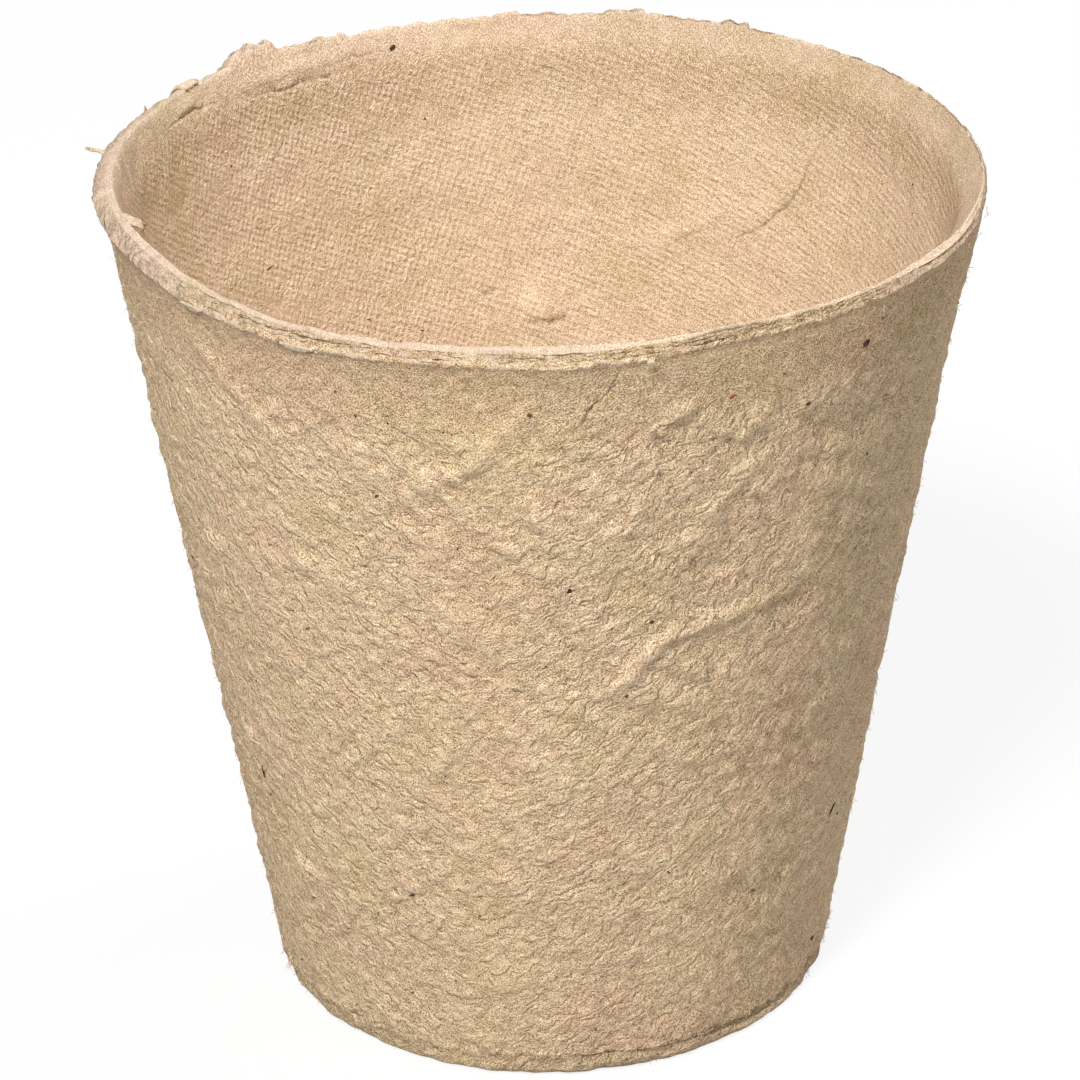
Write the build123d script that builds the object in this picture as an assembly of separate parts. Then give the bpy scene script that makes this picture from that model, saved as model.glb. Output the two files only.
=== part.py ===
"""Round peat pot: a tapered seedling pot of moulded pulp with a flared lip.

The wall is felted in plies that lie face to face. The three inner plies are whole
cups. The outermost layer is parted by a seam just above the base, into a wall ply
and a shallow base ply. The pot stands on the base ply, with its axis along +Z and
the middle of its underside at the origin.
"""

import os
from math import asin, atan2, cos, hypot, radians, sin, tan

from build123d import *

# Overall sizes, in millimetres
HEIGHT = 76.2
RIM_DIAMETER = 76.2
BASE_DIAMETER = 50.2

# Ply thicknesses, from the outside face to the inside face
OUTER_PLY = 0.50
OUTER_CORE_PLY = 0.45
INNER_CORE_PLY = 0.45
INNER_PLY = 0.60

# Lip: how far it leans from upright at its cut edge, in degrees, and its outside bend
LIP_LEAN = 30.0
LIP_RADIUS = 10.0

# Base: corners between wall and base, inside and outside, and height of the seam above the
# underside. The plies between nest on the inside corner.
FLOOR_CORNER_RADIUS = 0.30
BASE_CORNER_RADIUS = 0.90
SEAM_HEIGHT = 2.20

# Depth of each face below the outside face of the pot
OUTER_FACE = 0.0
OUTER_CORE_FACE = OUTER_FACE + OUTER_PLY
INNER_CORE_FACE = OUTER_CORE_FACE + OUTER_CORE_PLY
INNER_PLY_FACE = INNER_CORE_FACE + INNER_CORE_PLY
INSIDE_FACE = INNER_PLY_FACE + INNER_PLY

# The lip's cut edge is square to its lean. Its highest corner is on the inside face
# and its widest corner is on the outside face.
LEAN = radians(LIP_LEAN)
LIP_TIP_RADIUS = RIM_DIAMETER / 2
LIP_TIP_HEIGHT = HEIGHT - INSIDE_FACE * sin(LEAN)

# The lip bends about a centre outside the pot, and the straight wall is the line from
# the base corner that is tangent to that bend.
BEND_CENTRE_R = LIP_TIP_RADIUS + LIP_RADIUS * cos(LEAN)
BEND_CENTRE_Z = LIP_TIP_HEIGHT - LIP_RADIUS * sin(LEAN)
BASE_RADIUS = BASE_DIAMETER / 2
CENTRE_BEARING = atan2(BEND_CENTRE_R - BASE_RADIUS, BEND_CENTRE_Z)
CENTRE_DISTANCE = hypot(BEND_CENTRE_R - BASE_RADIUS, BEND_CENTRE_Z)
TAPER = CENTRE_BEARING - asin(LIP_RADIUS / CENTRE_DISTANCE)


def bend_point(depth, lean):
    """Point of the lip's bend on the face at this depth, where the wall leans this much."""
    radius = LIP_RADIUS + depth
    return (BEND_CENTRE_R - radius * cos(lean), BEND_CENTRE_Z + radius * sin(lean))


def wall_point(depth, height):
    """Point of the straight wall on the face at this depth, at this height."""
    return (BASE_RADIUS + height * tan(TAPER) - depth / cos(TAPER), height)


def lip_arc(depth):
    """Bend of the lip on the face at this depth, from the straight wall to the cut edge."""
    wall_direction = (sin(TAPER), cos(TAPER))
    return TangentArc(bend_point(depth, TAPER), bend_point(depth, LEAN), tangent=wall_direction)


def corner_radius(depth):
    """Radius between base and wall on the face at this depth."""
    if depth == OUTER_FACE:
        return BASE_CORNER_RADIUS
    return FLOOR_CORNER_RADIUS + INSIDE_FACE - depth


def cup_path(depth):
    """Outline of one face of the pot, from the axis over the floor and wall to the lip."""
    floor = depth
    corner = wall_point(depth, floor)
    floor_and_wall = FilletPolyline(
        (0, floor), corner, bend_point(depth, TAPER), radius=corner_radius(depth)
    )
    return floor_and_wall + lip_arc(depth)


def cup(outer_face, inner_face):
    """Whole cup-shaped ply between the faces at these two depths."""
    cut_edge = Line(bend_point(outer_face, LEAN), bend_point(inner_face, LEAN))
    middle = Line((0, outer_face), (0, inner_face))
    outline = [*cup_path(outer_face).edges(), cut_edge, *cup_path(inner_face).edges(), middle]
    return revolve(Plane.XZ * make_face(outline), Axis.Z)


def above_seam(ply):
    """The part of a ply that lies above the seam."""
    return split(ply, Plane.XY.offset(SEAM_HEIGHT), keep=Keep.TOP)


def below_seam(ply):
    """The part of a ply that lies below the seam."""
    return split(ply, Plane.XY.offset(SEAM_HEIGHT), keep=Keep.BOTTOM)


def make_parts():
    """The pot's separate plies by name."""
    outermost_layer = cup(OUTER_FACE, OUTER_CORE_FACE)
    return {
        "outer_ply": above_seam(outermost_layer),
        "base_ply": below_seam(outermost_layer),
        "outer_core_ply": cup(OUTER_CORE_FACE, INNER_CORE_FACE),
        "inner_core_ply": cup(INNER_CORE_FACE, INNER_PLY_FACE),
        "inner_ply": cup(INNER_PLY_FACE, INSIDE_FACE),
    }


def main():
    """Writes one STEP file for each ply."""
    os.makedirs("parts", exist_ok=True)
    for name, ply in make_parts().items():
        export_step(ply, f"parts/{name}.step")


if __name__ == "__main__":
    main()
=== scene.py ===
"""A round peat pot of moulded pulp: its felted plies, loose fibres and flecks, in a pale studio."""

import logging
import math
import random
from dataclasses import dataclass
from enum import Enum
from functools import cached_property
from typing import Any, Callable, Mapping, Sequence, Union

import bmesh
import bpy
import numpy as np
from mathutils import Matrix, Vector, noise


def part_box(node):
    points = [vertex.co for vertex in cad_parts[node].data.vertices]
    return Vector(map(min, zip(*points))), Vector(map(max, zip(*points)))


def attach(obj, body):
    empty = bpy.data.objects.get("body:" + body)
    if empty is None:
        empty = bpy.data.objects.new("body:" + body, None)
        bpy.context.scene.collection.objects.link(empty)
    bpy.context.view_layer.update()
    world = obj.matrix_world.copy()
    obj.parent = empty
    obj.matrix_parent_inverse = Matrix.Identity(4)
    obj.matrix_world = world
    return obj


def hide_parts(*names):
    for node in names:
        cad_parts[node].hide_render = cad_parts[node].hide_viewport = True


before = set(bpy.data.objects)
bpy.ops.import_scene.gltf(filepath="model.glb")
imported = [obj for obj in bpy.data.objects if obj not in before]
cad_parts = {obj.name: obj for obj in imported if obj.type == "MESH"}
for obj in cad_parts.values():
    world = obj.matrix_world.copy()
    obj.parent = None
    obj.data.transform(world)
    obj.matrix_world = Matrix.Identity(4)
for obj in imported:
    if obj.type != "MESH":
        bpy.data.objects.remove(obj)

LOG = logging.getLogger("peat_pot")
MM = 0.001
Colour = tuple[float, float, float]
# How far apart the noise of one seed lies from the next one's, in its own space.
FIELD_STEP = np.array([13.7, 5.9, 29.3])
# How many rows a stretch that never shows is divided into.
HIDDEN_ROWS = 2


class Mark(Enum):
    """Names of the vertex attributes and the map that the finishes read."""

    # Paler where the relief stands proud and darker in its hollows and below the lip: painted highlight and
    # painted shade; browner at cut ply edges, which is their own colour.
    PAINTED_LIGHT_AND_BROWN = "relief"
    # Painted shade in cracks, pits and along dents.
    CRACK = "crack"
    LIP = "lip"
    WORN = "worn"
    SKIN = "unrolled_skin"


class Face(Enum):
    """Which face of a ply shows and takes the relief."""

    OUTSIDE = 1
    INSIDE = 2
    EDGE_ONLY = 3


def smooth_step(values: np.ndarray, low: float, high: float) -> np.ndarray:
    """A soft step over values.

    Args:
        values: Numbers to step.
        low: Value at which the step starts from 0.
        high: Value at which the step reaches 1; below low, the step falls instead.

    Returns:
        Numbers from 0 to 1.
    """
    part = np.clip((values - low) / (high - low), 0.0, 1.0)
    return part * part * (3.0 - 2.0 * part)


def noise_at(points: np.ndarray, size: Union[float, np.ndarray], seed: int) -> np.ndarray:
    """Smooth noise at points in space.

    Args:
        points: One row of X, Y, Z for each place, in metres.
        size: Size of the noise's lumps, in metres, as one number or one for each axis.
        seed: Picks one of many unlike fields.

    Returns:
        Numbers from about -1 to 1, one for each row.
    """
    scaled = points / size + FIELD_STEP * seed
    return np.fromiter(map(noise.noise, scaled.tolist()), float, len(points))


def billow_at(points: np.ndarray, size: Union[float, np.ndarray], seed: int) -> np.ndarray:
    """Round lumps parted by narrow creases.

    Args:
        points: One row of X, Y, Z for each place, in metres.
        size: Size of the lumps, in metres, as one number or one for each axis.
        seed: Picks one of many unlike fields.

    Returns:
        Numbers from 0 in the creases to about 1 on the lumps.
    """
    steepness, top, rounding = 2.2, 1.4, 0.045
    return np.sqrt(np.minimum(steepness * np.hypot(noise_at(points, size, seed), rounding), top))


def twisted(points: np.ndarray, turn: float) -> np.ndarray:
    """Points turned about the pot's axis in step with their height, so that streaks become slanted.

    Args:
        points: One row of X, Y, Z for each place.
        turn: Turn in radians for each metre of height.

    Returns:
        The turned points.
    """
    angle = points[:, 2] * turn
    cosine, sine = np.cos(angle), np.sin(angle)
    turned_x = points[:, 0] * cosine - points[:, 1] * sine
    turned_y = points[:, 0] * sine + points[:, 1] * cosine
    return np.column_stack([turned_x, turned_y, points[:, 2]])


def arched(share: np.ndarray) -> np.ndarray:
    """An arch over shares from 0 to 1, with its top of 1 at a half."""
    return 1.0 - (2.0 * share - 1.0) ** 2


def meshed(shell: bmesh.types.BMesh, name: str) -> bpy.types.Mesh:
    """Turns a shell into a mesh, and frees the shell.

    Args:
        shell: The shell.
        name: The mesh's name.

    Returns:
        The mesh.
    """
    mesh = bpy.data.meshes.new(name)
    shell.to_mesh(mesh)
    shell.free()
    return mesh


def vectors_of(mesh: bpy.types.Mesh, name: str) -> np.ndarray:
    """A vector of each vertex of a mesh.

    Args:
        mesh: The mesh.
        name: The vector's name, such as co or normal.

    Returns:
        One row for each vertex.
    """
    flat = np.empty(len(mesh.vertices) * 3, np.float32)
    mesh.vertices.foreach_get(name, flat)
    return flat.reshape(-1, 3).astype(float)


@dataclass(frozen=True)
class PotShape:
    """Section of the pot: a straight tapered wall that bends outward into a lip.

    A place on the section is its depth below the outside face, and its distance along that
    face from the sharp corner of the base.
    """

    height: float
    rim_radius: float
    seam_height: float
    seam_radius: float
    wall: float = 2.0 * MM
    lip_lean: float = math.radians(30.0)
    lip_radius: float = 10.0 * MM

    @classmethod
    def of_frame(cls) -> "PotShape":
        """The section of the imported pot."""
        rim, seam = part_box("outer_ply")[1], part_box("base_ply")[1]
        return cls(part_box("inner_ply")[1].z, rim.x, seam.z, seam.x)

    @cached_property
    def bend(self) -> tuple[float, float]:
        """Radius and height of the point that the lip bends about.

        Returns:
            The radius and the height.
        """
        tip_height = self.height - self.wall * math.sin(self.lip_lean)
        return (
            self.rim_radius + self.lip_radius * math.cos(self.lip_lean),
            tip_height - self.lip_radius * math.sin(self.lip_lean),
        )

    @cached_property
    def taper(self) -> float:
        """Lean of the straight wall from upright.

        Returns:
            The lean, in radians.
        """
        run = self.bend[0] - self.seam_radius
        rise = self.bend[1] - self.seam_height
        return math.atan2(run, rise) - math.asin(self.lip_radius / math.hypot(run, rise))

    @cached_property
    def base_radius(self) -> float:
        """Radius of the outside face where it would meet the ground."""
        return self.seam_radius - self.seam_height * math.tan(self.taper)

    @cached_property
    def wall_length(self) -> float:
        """Length of the straight wall, from the ground to the start of the lip."""
        reach = math.hypot(self.bend[0] - self.base_radius, self.bend[1])
        return math.sqrt(reach**2 - self.lip_radius**2)

    @cached_property
    def length(self) -> float:
        """Length of the outside face, from the ground to the cut edge of the lip."""
        return self.wall_length + self.lip_radius * (self.lip_lean - self.taper)

    @cached_property
    def seam_along(self) -> float:
        """Distance of the seam from the ground, along the outside face."""
        return self.seam_height / math.cos(self.taper)

    def lean(self, along: np.ndarray) -> np.ndarray:
        """Lean of the outside face from upright, in radians, at distances along it."""
        return self.taper + np.maximum(along - self.wall_length, 0.0) / self.lip_radius

    def place(self, depth: np.ndarray, along: np.ndarray) -> tuple[np.ndarray, np.ndarray]:
        """Radius and height of places on the section.

        Args:
            depth: Depths below the outside face.
            along: Distances along the outside face.

        Returns:
            The radii and the heights.
        """
        lean = self.lean(along)
        straight = np.minimum(along - self.wall_length, 0.0)
        radius = self.bend[0] - (self.lip_radius + depth) * np.cos(lean)
        height = self.bend[1] + (self.lip_radius + depth) * np.sin(lean)
        return radius + straight * math.sin(self.taper), height + straight * math.cos(self.taper)

    def locate(self, radius: np.ndarray, height: np.ndarray) -> tuple[np.ndarray, np.ndarray]:
        """Depths and distances along the outside face of places on the section.

        Args:
            radius: Radii of the places.
            height: Heights of the places.

        Returns:
            The depths and the distances.
        """
        inward, upward = self.bend[0] - radius, height - self.bend[1]
        lean = np.arctan2(upward, inward)
        on_lip = lean > self.taper
        sine, cosine = math.sin(self.taper), math.cos(self.taper)
        wall_along = (radius - self.base_radius) * sine + height * cosine
        wall_depth = height * sine - (radius - self.base_radius) * cosine
        lip_along = self.wall_length + (lean - self.taper) * self.lip_radius
        lip_depth = np.hypot(inward, upward) - self.lip_radius
        return np.where(on_lip, lip_depth, wall_depth), np.where(on_lip, lip_along, wall_along)


class Skin:
    """Places on the pot: where they are in space, and on its section and round its axis.

    The strays' entries are the reach, the size and the two seeds of each layer.
    """

    STRAYS = ((0.35 * MM, 2.2 * MM, (31, 32)), (0.14 * MM, 0.7 * MM, (33, 34)))

    def __init__(self, shape: PotShape, points: np.ndarray) -> None:
        """Works out where points lie on a pot.

        Args:
            shape: The pot's section.
            points: One row of X, Y, Z for each place.
        """
        self.shape = shape
        self.points = points
        self.azimuth = np.degrees(np.arctan2(points[:, 1], points[:, 0])) % 360.0
        self.depth, self.along = shape.locate(np.hypot(points[:, 0], points[:, 1]), points[:, 2])

    @classmethod
    def at(cls, shape: PotShape, azimuth: np.ndarray, along: np.ndarray, depth: np.ndarray) -> "Skin":
        """Places given on the section and round the axis.

        Args:
            shape: The pot's section.
            azimuth: Angles about the axis, in degrees from +X towards +Y.
            along: Distances along the outside face.
            depth: Depths below the outside face.

        Returns:
            The places.
        """
        radius, height = shape.place(depth, along)
        turn = np.radians(azimuth)
        return cls(shape, np.column_stack([radius * np.cos(turn), radius * np.sin(turn), height]))

    @property
    def outward(self) -> np.ndarray:
        """Unit vectors out of the outside face."""
        lean, turn = self.shape.lean(self.along), np.radians(self.azimuth)
        return np.column_stack([np.cos(lean) * np.cos(turn), np.cos(lean) * np.sin(turn), -np.sin(lean)])

    @property
    def rising(self) -> np.ndarray:
        """Unit vectors up along the outside face."""
        lean, turn = self.shape.lean(self.along), np.radians(self.azimuth)
        return np.column_stack([np.sin(lean) * np.cos(turn), np.sin(lean) * np.sin(turn), np.cos(lean)])

    @cached_property
    def wander(self) -> np.ndarray:
        """Small stray offsets across and up the face, in metres, that keep lines on it from being straight.

        Returns:
            One row for each place.
        """
        offsets = np.zeros((len(self.points), 2))
        for reach, size, seeds in self.STRAYS:
            offsets += reach * np.column_stack([noise_at(self.points, size, seed) for seed in seeds])
        return offsets

    @cached_property
    def breaks(self) -> np.ndarray:
        """How open cracks are at the places, from 0.5 to 1, because they narrow in places."""
        return 0.5 + 0.5 * smooth_step(noise_at(self.points, 1.5 * MM, 35), -0.5, 0.2)

    def near_rim(self, start: float, full: float = 0.0) -> np.ndarray:
        """How near the places are to the edge of the rim.

        Args:
            start: Distance below the edge at which the numbers start from 0.
            full: Distance below the edge at which they reach 1.

        Returns:
            Numbers from 0 to 1.
        """
        return smooth_step(self.along, self.shape.length - start, self.shape.length - full)

    def beside(self, azimuth: float, far: float, near: float) -> np.ndarray:
        """How near the places are to an azimuth.

        Args:
            azimuth: The azimuth, in degrees.
            far: Angle from it at which the numbers start from 0.
            near: Angle from it at which they reach 1.

        Returns:
            Numbers from 0 to 1.
        """
        return smooth_step(np.abs(self.arc_from(azimuth)), far, near)

    def arc_from(self, azimuth: float) -> np.ndarray:
        """Signed angles in degrees from an azimuth to the places, from -180 to 180."""
        return (self.azimuth - azimuth + 180.0) % 360.0 - 180.0


@dataclass(frozen=True)
class Fold:
    """A ridge, crack or dent that follows a line on the skin.

    Attributes:
        places: Azimuth in degrees and height in millimetres of each point of the line.
        width: Half width of the fold, in millimetres.
        lift: How far it stands proud, in millimetres; a crack's is negative.
        stain_and_shade: How far painted shade darkens the pulp along it, from 0 to 1.
    """

    places: tuple[tuple[float, float], ...]
    width: float
    lift: float
    stain_and_shade: float = 0.0

    @property
    def sharp(self) -> bool:
        """Whether it is a crack."""
        return self.lift < 0.0

    def distance(self, skin: Skin) -> tuple[np.ndarray, np.ndarray]:
        """How far the skin's places are from the line.

        Args:
            skin: Places on the pot.

        Returns:
            Distances in metres, and where along the line its nearest point is, from 0 to 1.
        """
        middle = sum(height for _, height in self.places) / len(self.places) * MM
        radius = skin.shape.base_radius + middle * math.tan(skin.shape.taper)
        first = self.places[0][0]
        corners = [(math.radians(turn - first) * radius, height * MM) for turn, height in self.places]
        line = self.rounded(np.array(corners))
        spots = np.column_stack([np.radians(skin.arc_from(first)) * radius, skin.points[:, 2]])
        spare = 4.0 * self.width * MM + 1.5 * MM
        close = np.flatnonzero(np.all((spots > line.min(0) - spare) & (spots < line.max(0) + spare), axis=1))
        spots = spots[close] + skin.wander[close]
        away, where = np.full(len(close), np.inf), np.zeros(len(close))
        for index, (start, end) in enumerate(zip(line, line[1:])):
            run = end - start
            share = np.clip((spots - start) @ run / (run @ run), 0.0, 1.0)
            gap = np.linalg.norm(spots - start - share[:, None] * run, axis=1)
            where = np.where(gap < away, (index + share) / (len(line) - 1), where)
            away = np.minimum(away, gap)
        nearest, station = np.full(len(skin.points), np.inf), np.zeros(len(skin.points))
        nearest[close], station[close] = away, where
        return nearest, station

    @staticmethod
    def rounded(line: np.ndarray) -> np.ndarray:
        """A line with its corners cut, and cut again, into a curve.

        Args:
            line: One row for each point.

        Returns:
            The curve's points.
        """
        for _ in range(2):
            quarter = (line[1:] - line[:-1]) / 4.0
            cut = np.stack([line[:-1] + quarter, line[1:] - quarter], axis=1).reshape(-1, 2)
            line = np.vstack([line[:1], cut[1:-1], line[-1:]])
        return line

    def nearness(self, skin: Skin) -> np.ndarray:
        """How near the skin's places are to the line.

        Args:
            skin: Places on the pot.

        Returns:
            1 on the line, falling off to 0 over its width, and tapered at its ends.
        """
        away, station = self.distance(skin)
        tapered = np.sqrt(np.clip(4.0 * station * (1.0 - station), 0.0, 1.0)) * 0.8 + 0.2
        return np.exp(-((away / (self.width * MM)) ** 2)) * tapered * (skin.breaks if self.sharp else 1.0)


def folded(skin: Skin, folds: Sequence[Fold]) -> tuple[np.ndarray, np.ndarray]:
    """Lift of folds, and painted shade along their cracks and dents.

    Args:
        skin: Places on the pot.
        folds: The folds.

    Returns:
        How far each place stands proud, in millimetres, and how much painted shade it has.
    """
    lift, stain_and_shade = np.zeros(len(skin.points)), np.zeros(len(skin.points))
    for fold in folds:
        near = fold.nearness(skin)
        lift += fold.lift * near
        stain_and_shade = np.maximum(stain_and_shade, fold.stain_and_shade * near)
    return lift, stain_and_shade


class Value:
    """A number in a shader. Python's operators on it add Math nodes."""

    def __init__(self, graph: "ShaderGraph", socket: bpy.types.NodeSocket) -> None:
        """Wraps a socket.

        Args:
            graph: The shader that the socket is in.
            socket: The socket that gives the number.
        """
        self.graph = graph
        self.socket = socket

    def math(self, operation: str, *others: Union["Value", float]) -> "Value":
        """One Math node on this value.

        Args:
            operation: The Math node's operation.
            others: Its further inputs.

        Returns:
            The result.
        """
        inputs = dict(enumerate((self, *others)))
        made = self.graph.node("ShaderNodeMath", {"operation": operation}, inputs)
        return Value(self.graph, made.outputs[0])

    def __add__(self, other: Union["Value", float]) -> "Value":
        """Sum."""
        return self.math("ADD", other)

    __radd__ = __add__

    def __mul__(self, other: Union["Value", float]) -> "Value":
        """Product."""
        return self.math("MULTIPLY", other)

    __rmul__ = __mul__

    def __sub__(self, other: Union["Value", float]) -> "Value":
        """Difference."""
        return self.math("SUBTRACT", other)

    def __rsub__(self, other: float) -> "Value":
        """Difference from a number."""
        return self * -1.0 + other

    def __abs__(self) -> "Value":
        """Size without sign."""
        return self.math("ABSOLUTE")

    def step(self, low: float, high: float) -> "Value":
        """A soft step.

        Args:
            low: Number at which the step starts from 0.
            high: Number at which it reaches 1.

        Returns:
            Numbers from 0 to 1.
        """
        made = self.graph.node(
            "ShaderNodeMapRange",
            {"interpolation_type": "SMOOTHSTEP"},
            {"Value": self, "From Min": low, "From Max": high},
        )
        return Value(self.graph, made.outputs[0])


Feed = Union[Value, bpy.types.NodeSocket, float, Sequence[float]]


class ShaderGraph:
    """The node tree of one material, written as expressions."""

    ROUGHNESS = 0.95
    SHEEN = 0.15

    def __init__(self, name: str) -> None:
        """Makes an empty material.

        Args:
            name: The material's name.
        """
        self.material = bpy.data.materials.new(name)
        self.material.use_nodes = True
        self.tree = self.material.node_tree
        self.tree.nodes.clear()

    def node(
        self, kind: str, settings: Mapping[str, Any] | None = None, inputs: Mapping[Any, Feed] | None = None
    ) -> bpy.types.Node:
        """Adds a node.

        Args:
            kind: The node's type.
            settings: Its settings, which are set first.
            inputs: Values or links of its sockets, by name or index.

        Returns:
            The node.
        """
        made = self.tree.nodes.new(kind)
        for name, setting in (settings or {}).items():
            setattr(made, name, setting)
        for key, feed in (inputs or {}).items():
            socket = feed.socket if isinstance(feed, Value) else feed
            if isinstance(socket, bpy.types.NodeSocket):
                self.tree.links.new(socket, made.inputs[key])
            else:
                made.inputs[key].default_value = socket
        return made

    def object_place(self) -> bpy.types.NodeSocket:
        """Where the surface is in the pot's own frame."""
        return self.node("ShaderNodeTexCoord").outputs["Object"]

    def mark(self, mark: Mark) -> Value:
        """A vertex attribute of the piece."""
        return Value(self, self.node("ShaderNodeAttribute", {"attribute_name": mark.value}).outputs["Fac"])

    def noise(
        self,
        place: bpy.types.NodeSocket,
        size: float,
        detail: float = 2.0,
        rough: float = 0.5,
        dimensions: str = "3D",
    ) -> Value:
        """A noise pattern.

        Args:
            place: The coordinates that it is read at.
            size: Size of its lumps, in the coordinates' unit.
            detail: How many finer layers it has.
            rough: How strong the finer layers are.
            dimensions: Whether it lies in space or on a map.

        Returns:
            Numbers from about -1 to 1.
        """
        inputs = {"Vector": place, "Scale": 1.0 / size, "Detail": detail, "Roughness": rough}
        made = self.node("ShaderNodeTexNoise", {"noise_dimensions": dimensions}, inputs)
        return (Value(self, made.outputs["Fac"]) - 0.5) * 4.0

    def flat_noise(self, place: bpy.types.NodeSocket, detail: float = 1.0) -> Value:
        """A noise pattern on a map, with lumps one unit wide, from about -1 to 1."""
        return self.noise(place, 1.0, detail, dimensions="2D")

    def laid(
        self, place: bpy.types.NodeSocket, size: tuple[float, float], turn: float = 0.0, shift: float = 0.0
    ) -> bpy.types.NodeSocket:
        """Map coordinates for a pattern that is turned, stretched and shifted.

        Args:
            place: The map's coordinates.
            size: Size of the pattern's unit across and along, in the map's unit.
            turn: Turn of the pattern, in radians.
            shift: Shift of the pattern, in the map's unit.

        Returns:
            The new coordinates.
        """
        inputs = {
            "Vector": place,
            "Location": (shift, shift, 0.0),
            "Rotation": (0.0, 0.0, turn),
            "Scale": (*size, 1.0),
        }
        return self.node("ShaderNodeMapping", {"vector_type": "TEXTURE"}, inputs).outputs["Vector"]

    def strayed(self, place: bpy.types.NodeSocket, size: float, reach: float) -> bpy.types.NodeSocket:
        """Map coordinates that stray, so that lines in a pattern read at them bend.

        Args:
            place: The map's coordinates.
            size: Size of the bends, in the map's unit.
            reach: How far they stray, in the map's unit.

        Returns:
            The new coordinates.
        """
        inputs = {"Vector": place, "Scale": 1.0 / size, "Detail": 1.0}
        offset = self.node("ShaderNodeTexNoise", {"noise_dimensions": "2D"}, inputs).outputs["Color"]
        inputs = {0: offset, 1: (reach, reach, 0.0), 2: place}
        return self.node("ShaderNodeVectorMath", {"operation": "MULTIPLY_ADD"}, inputs).outputs[0]

    def mix(
        self, share: Union[Value, float], first: Feed, second: Feed, blend: str = "MIX"
    ) -> bpy.types.NodeSocket:
        """A mix of two colours.

        Args:
            share: How much of the second colour there is.
            first: The first colour.
            second: The second colour.
            blend: How the second colour acts on the first.

        Returns:
            The mixed colour.
        """
        ends = [(*colour, 1.0) if isinstance(colour, tuple) else colour for colour in (first, second)]
        settings = {"data_type": "RGBA", "blend_type": blend}
        return self.node("ShaderNodeMix", settings, {0: share, 6: ends[0], 7: ends[1]}).outputs[2]

    def finish(self, colour: Feed, height: Value) -> bpy.types.Material:
        """Ends the shader in a matte, bumpy surface.

        Args:
            colour: Its colour.
            height: Its fine relief, in millimetres.

        Returns:
            The material.
        """
        bump = self.node("ShaderNodeBump", None, {"Height": height, "Distance": MM, "Strength": 1.0})
        inputs = {
            "Base Color": colour,
            "Roughness": self.ROUGHNESS,
            "Normal": bump.outputs[0],
            "Specular IOR Level": self.SHEEN,
        }
        shader = self.node("ShaderNodeBsdfPrincipled", None, inputs)
        self.node("ShaderNodeOutputMaterial", None, {"Surface": shader.outputs[0]})
        return self.material


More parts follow.
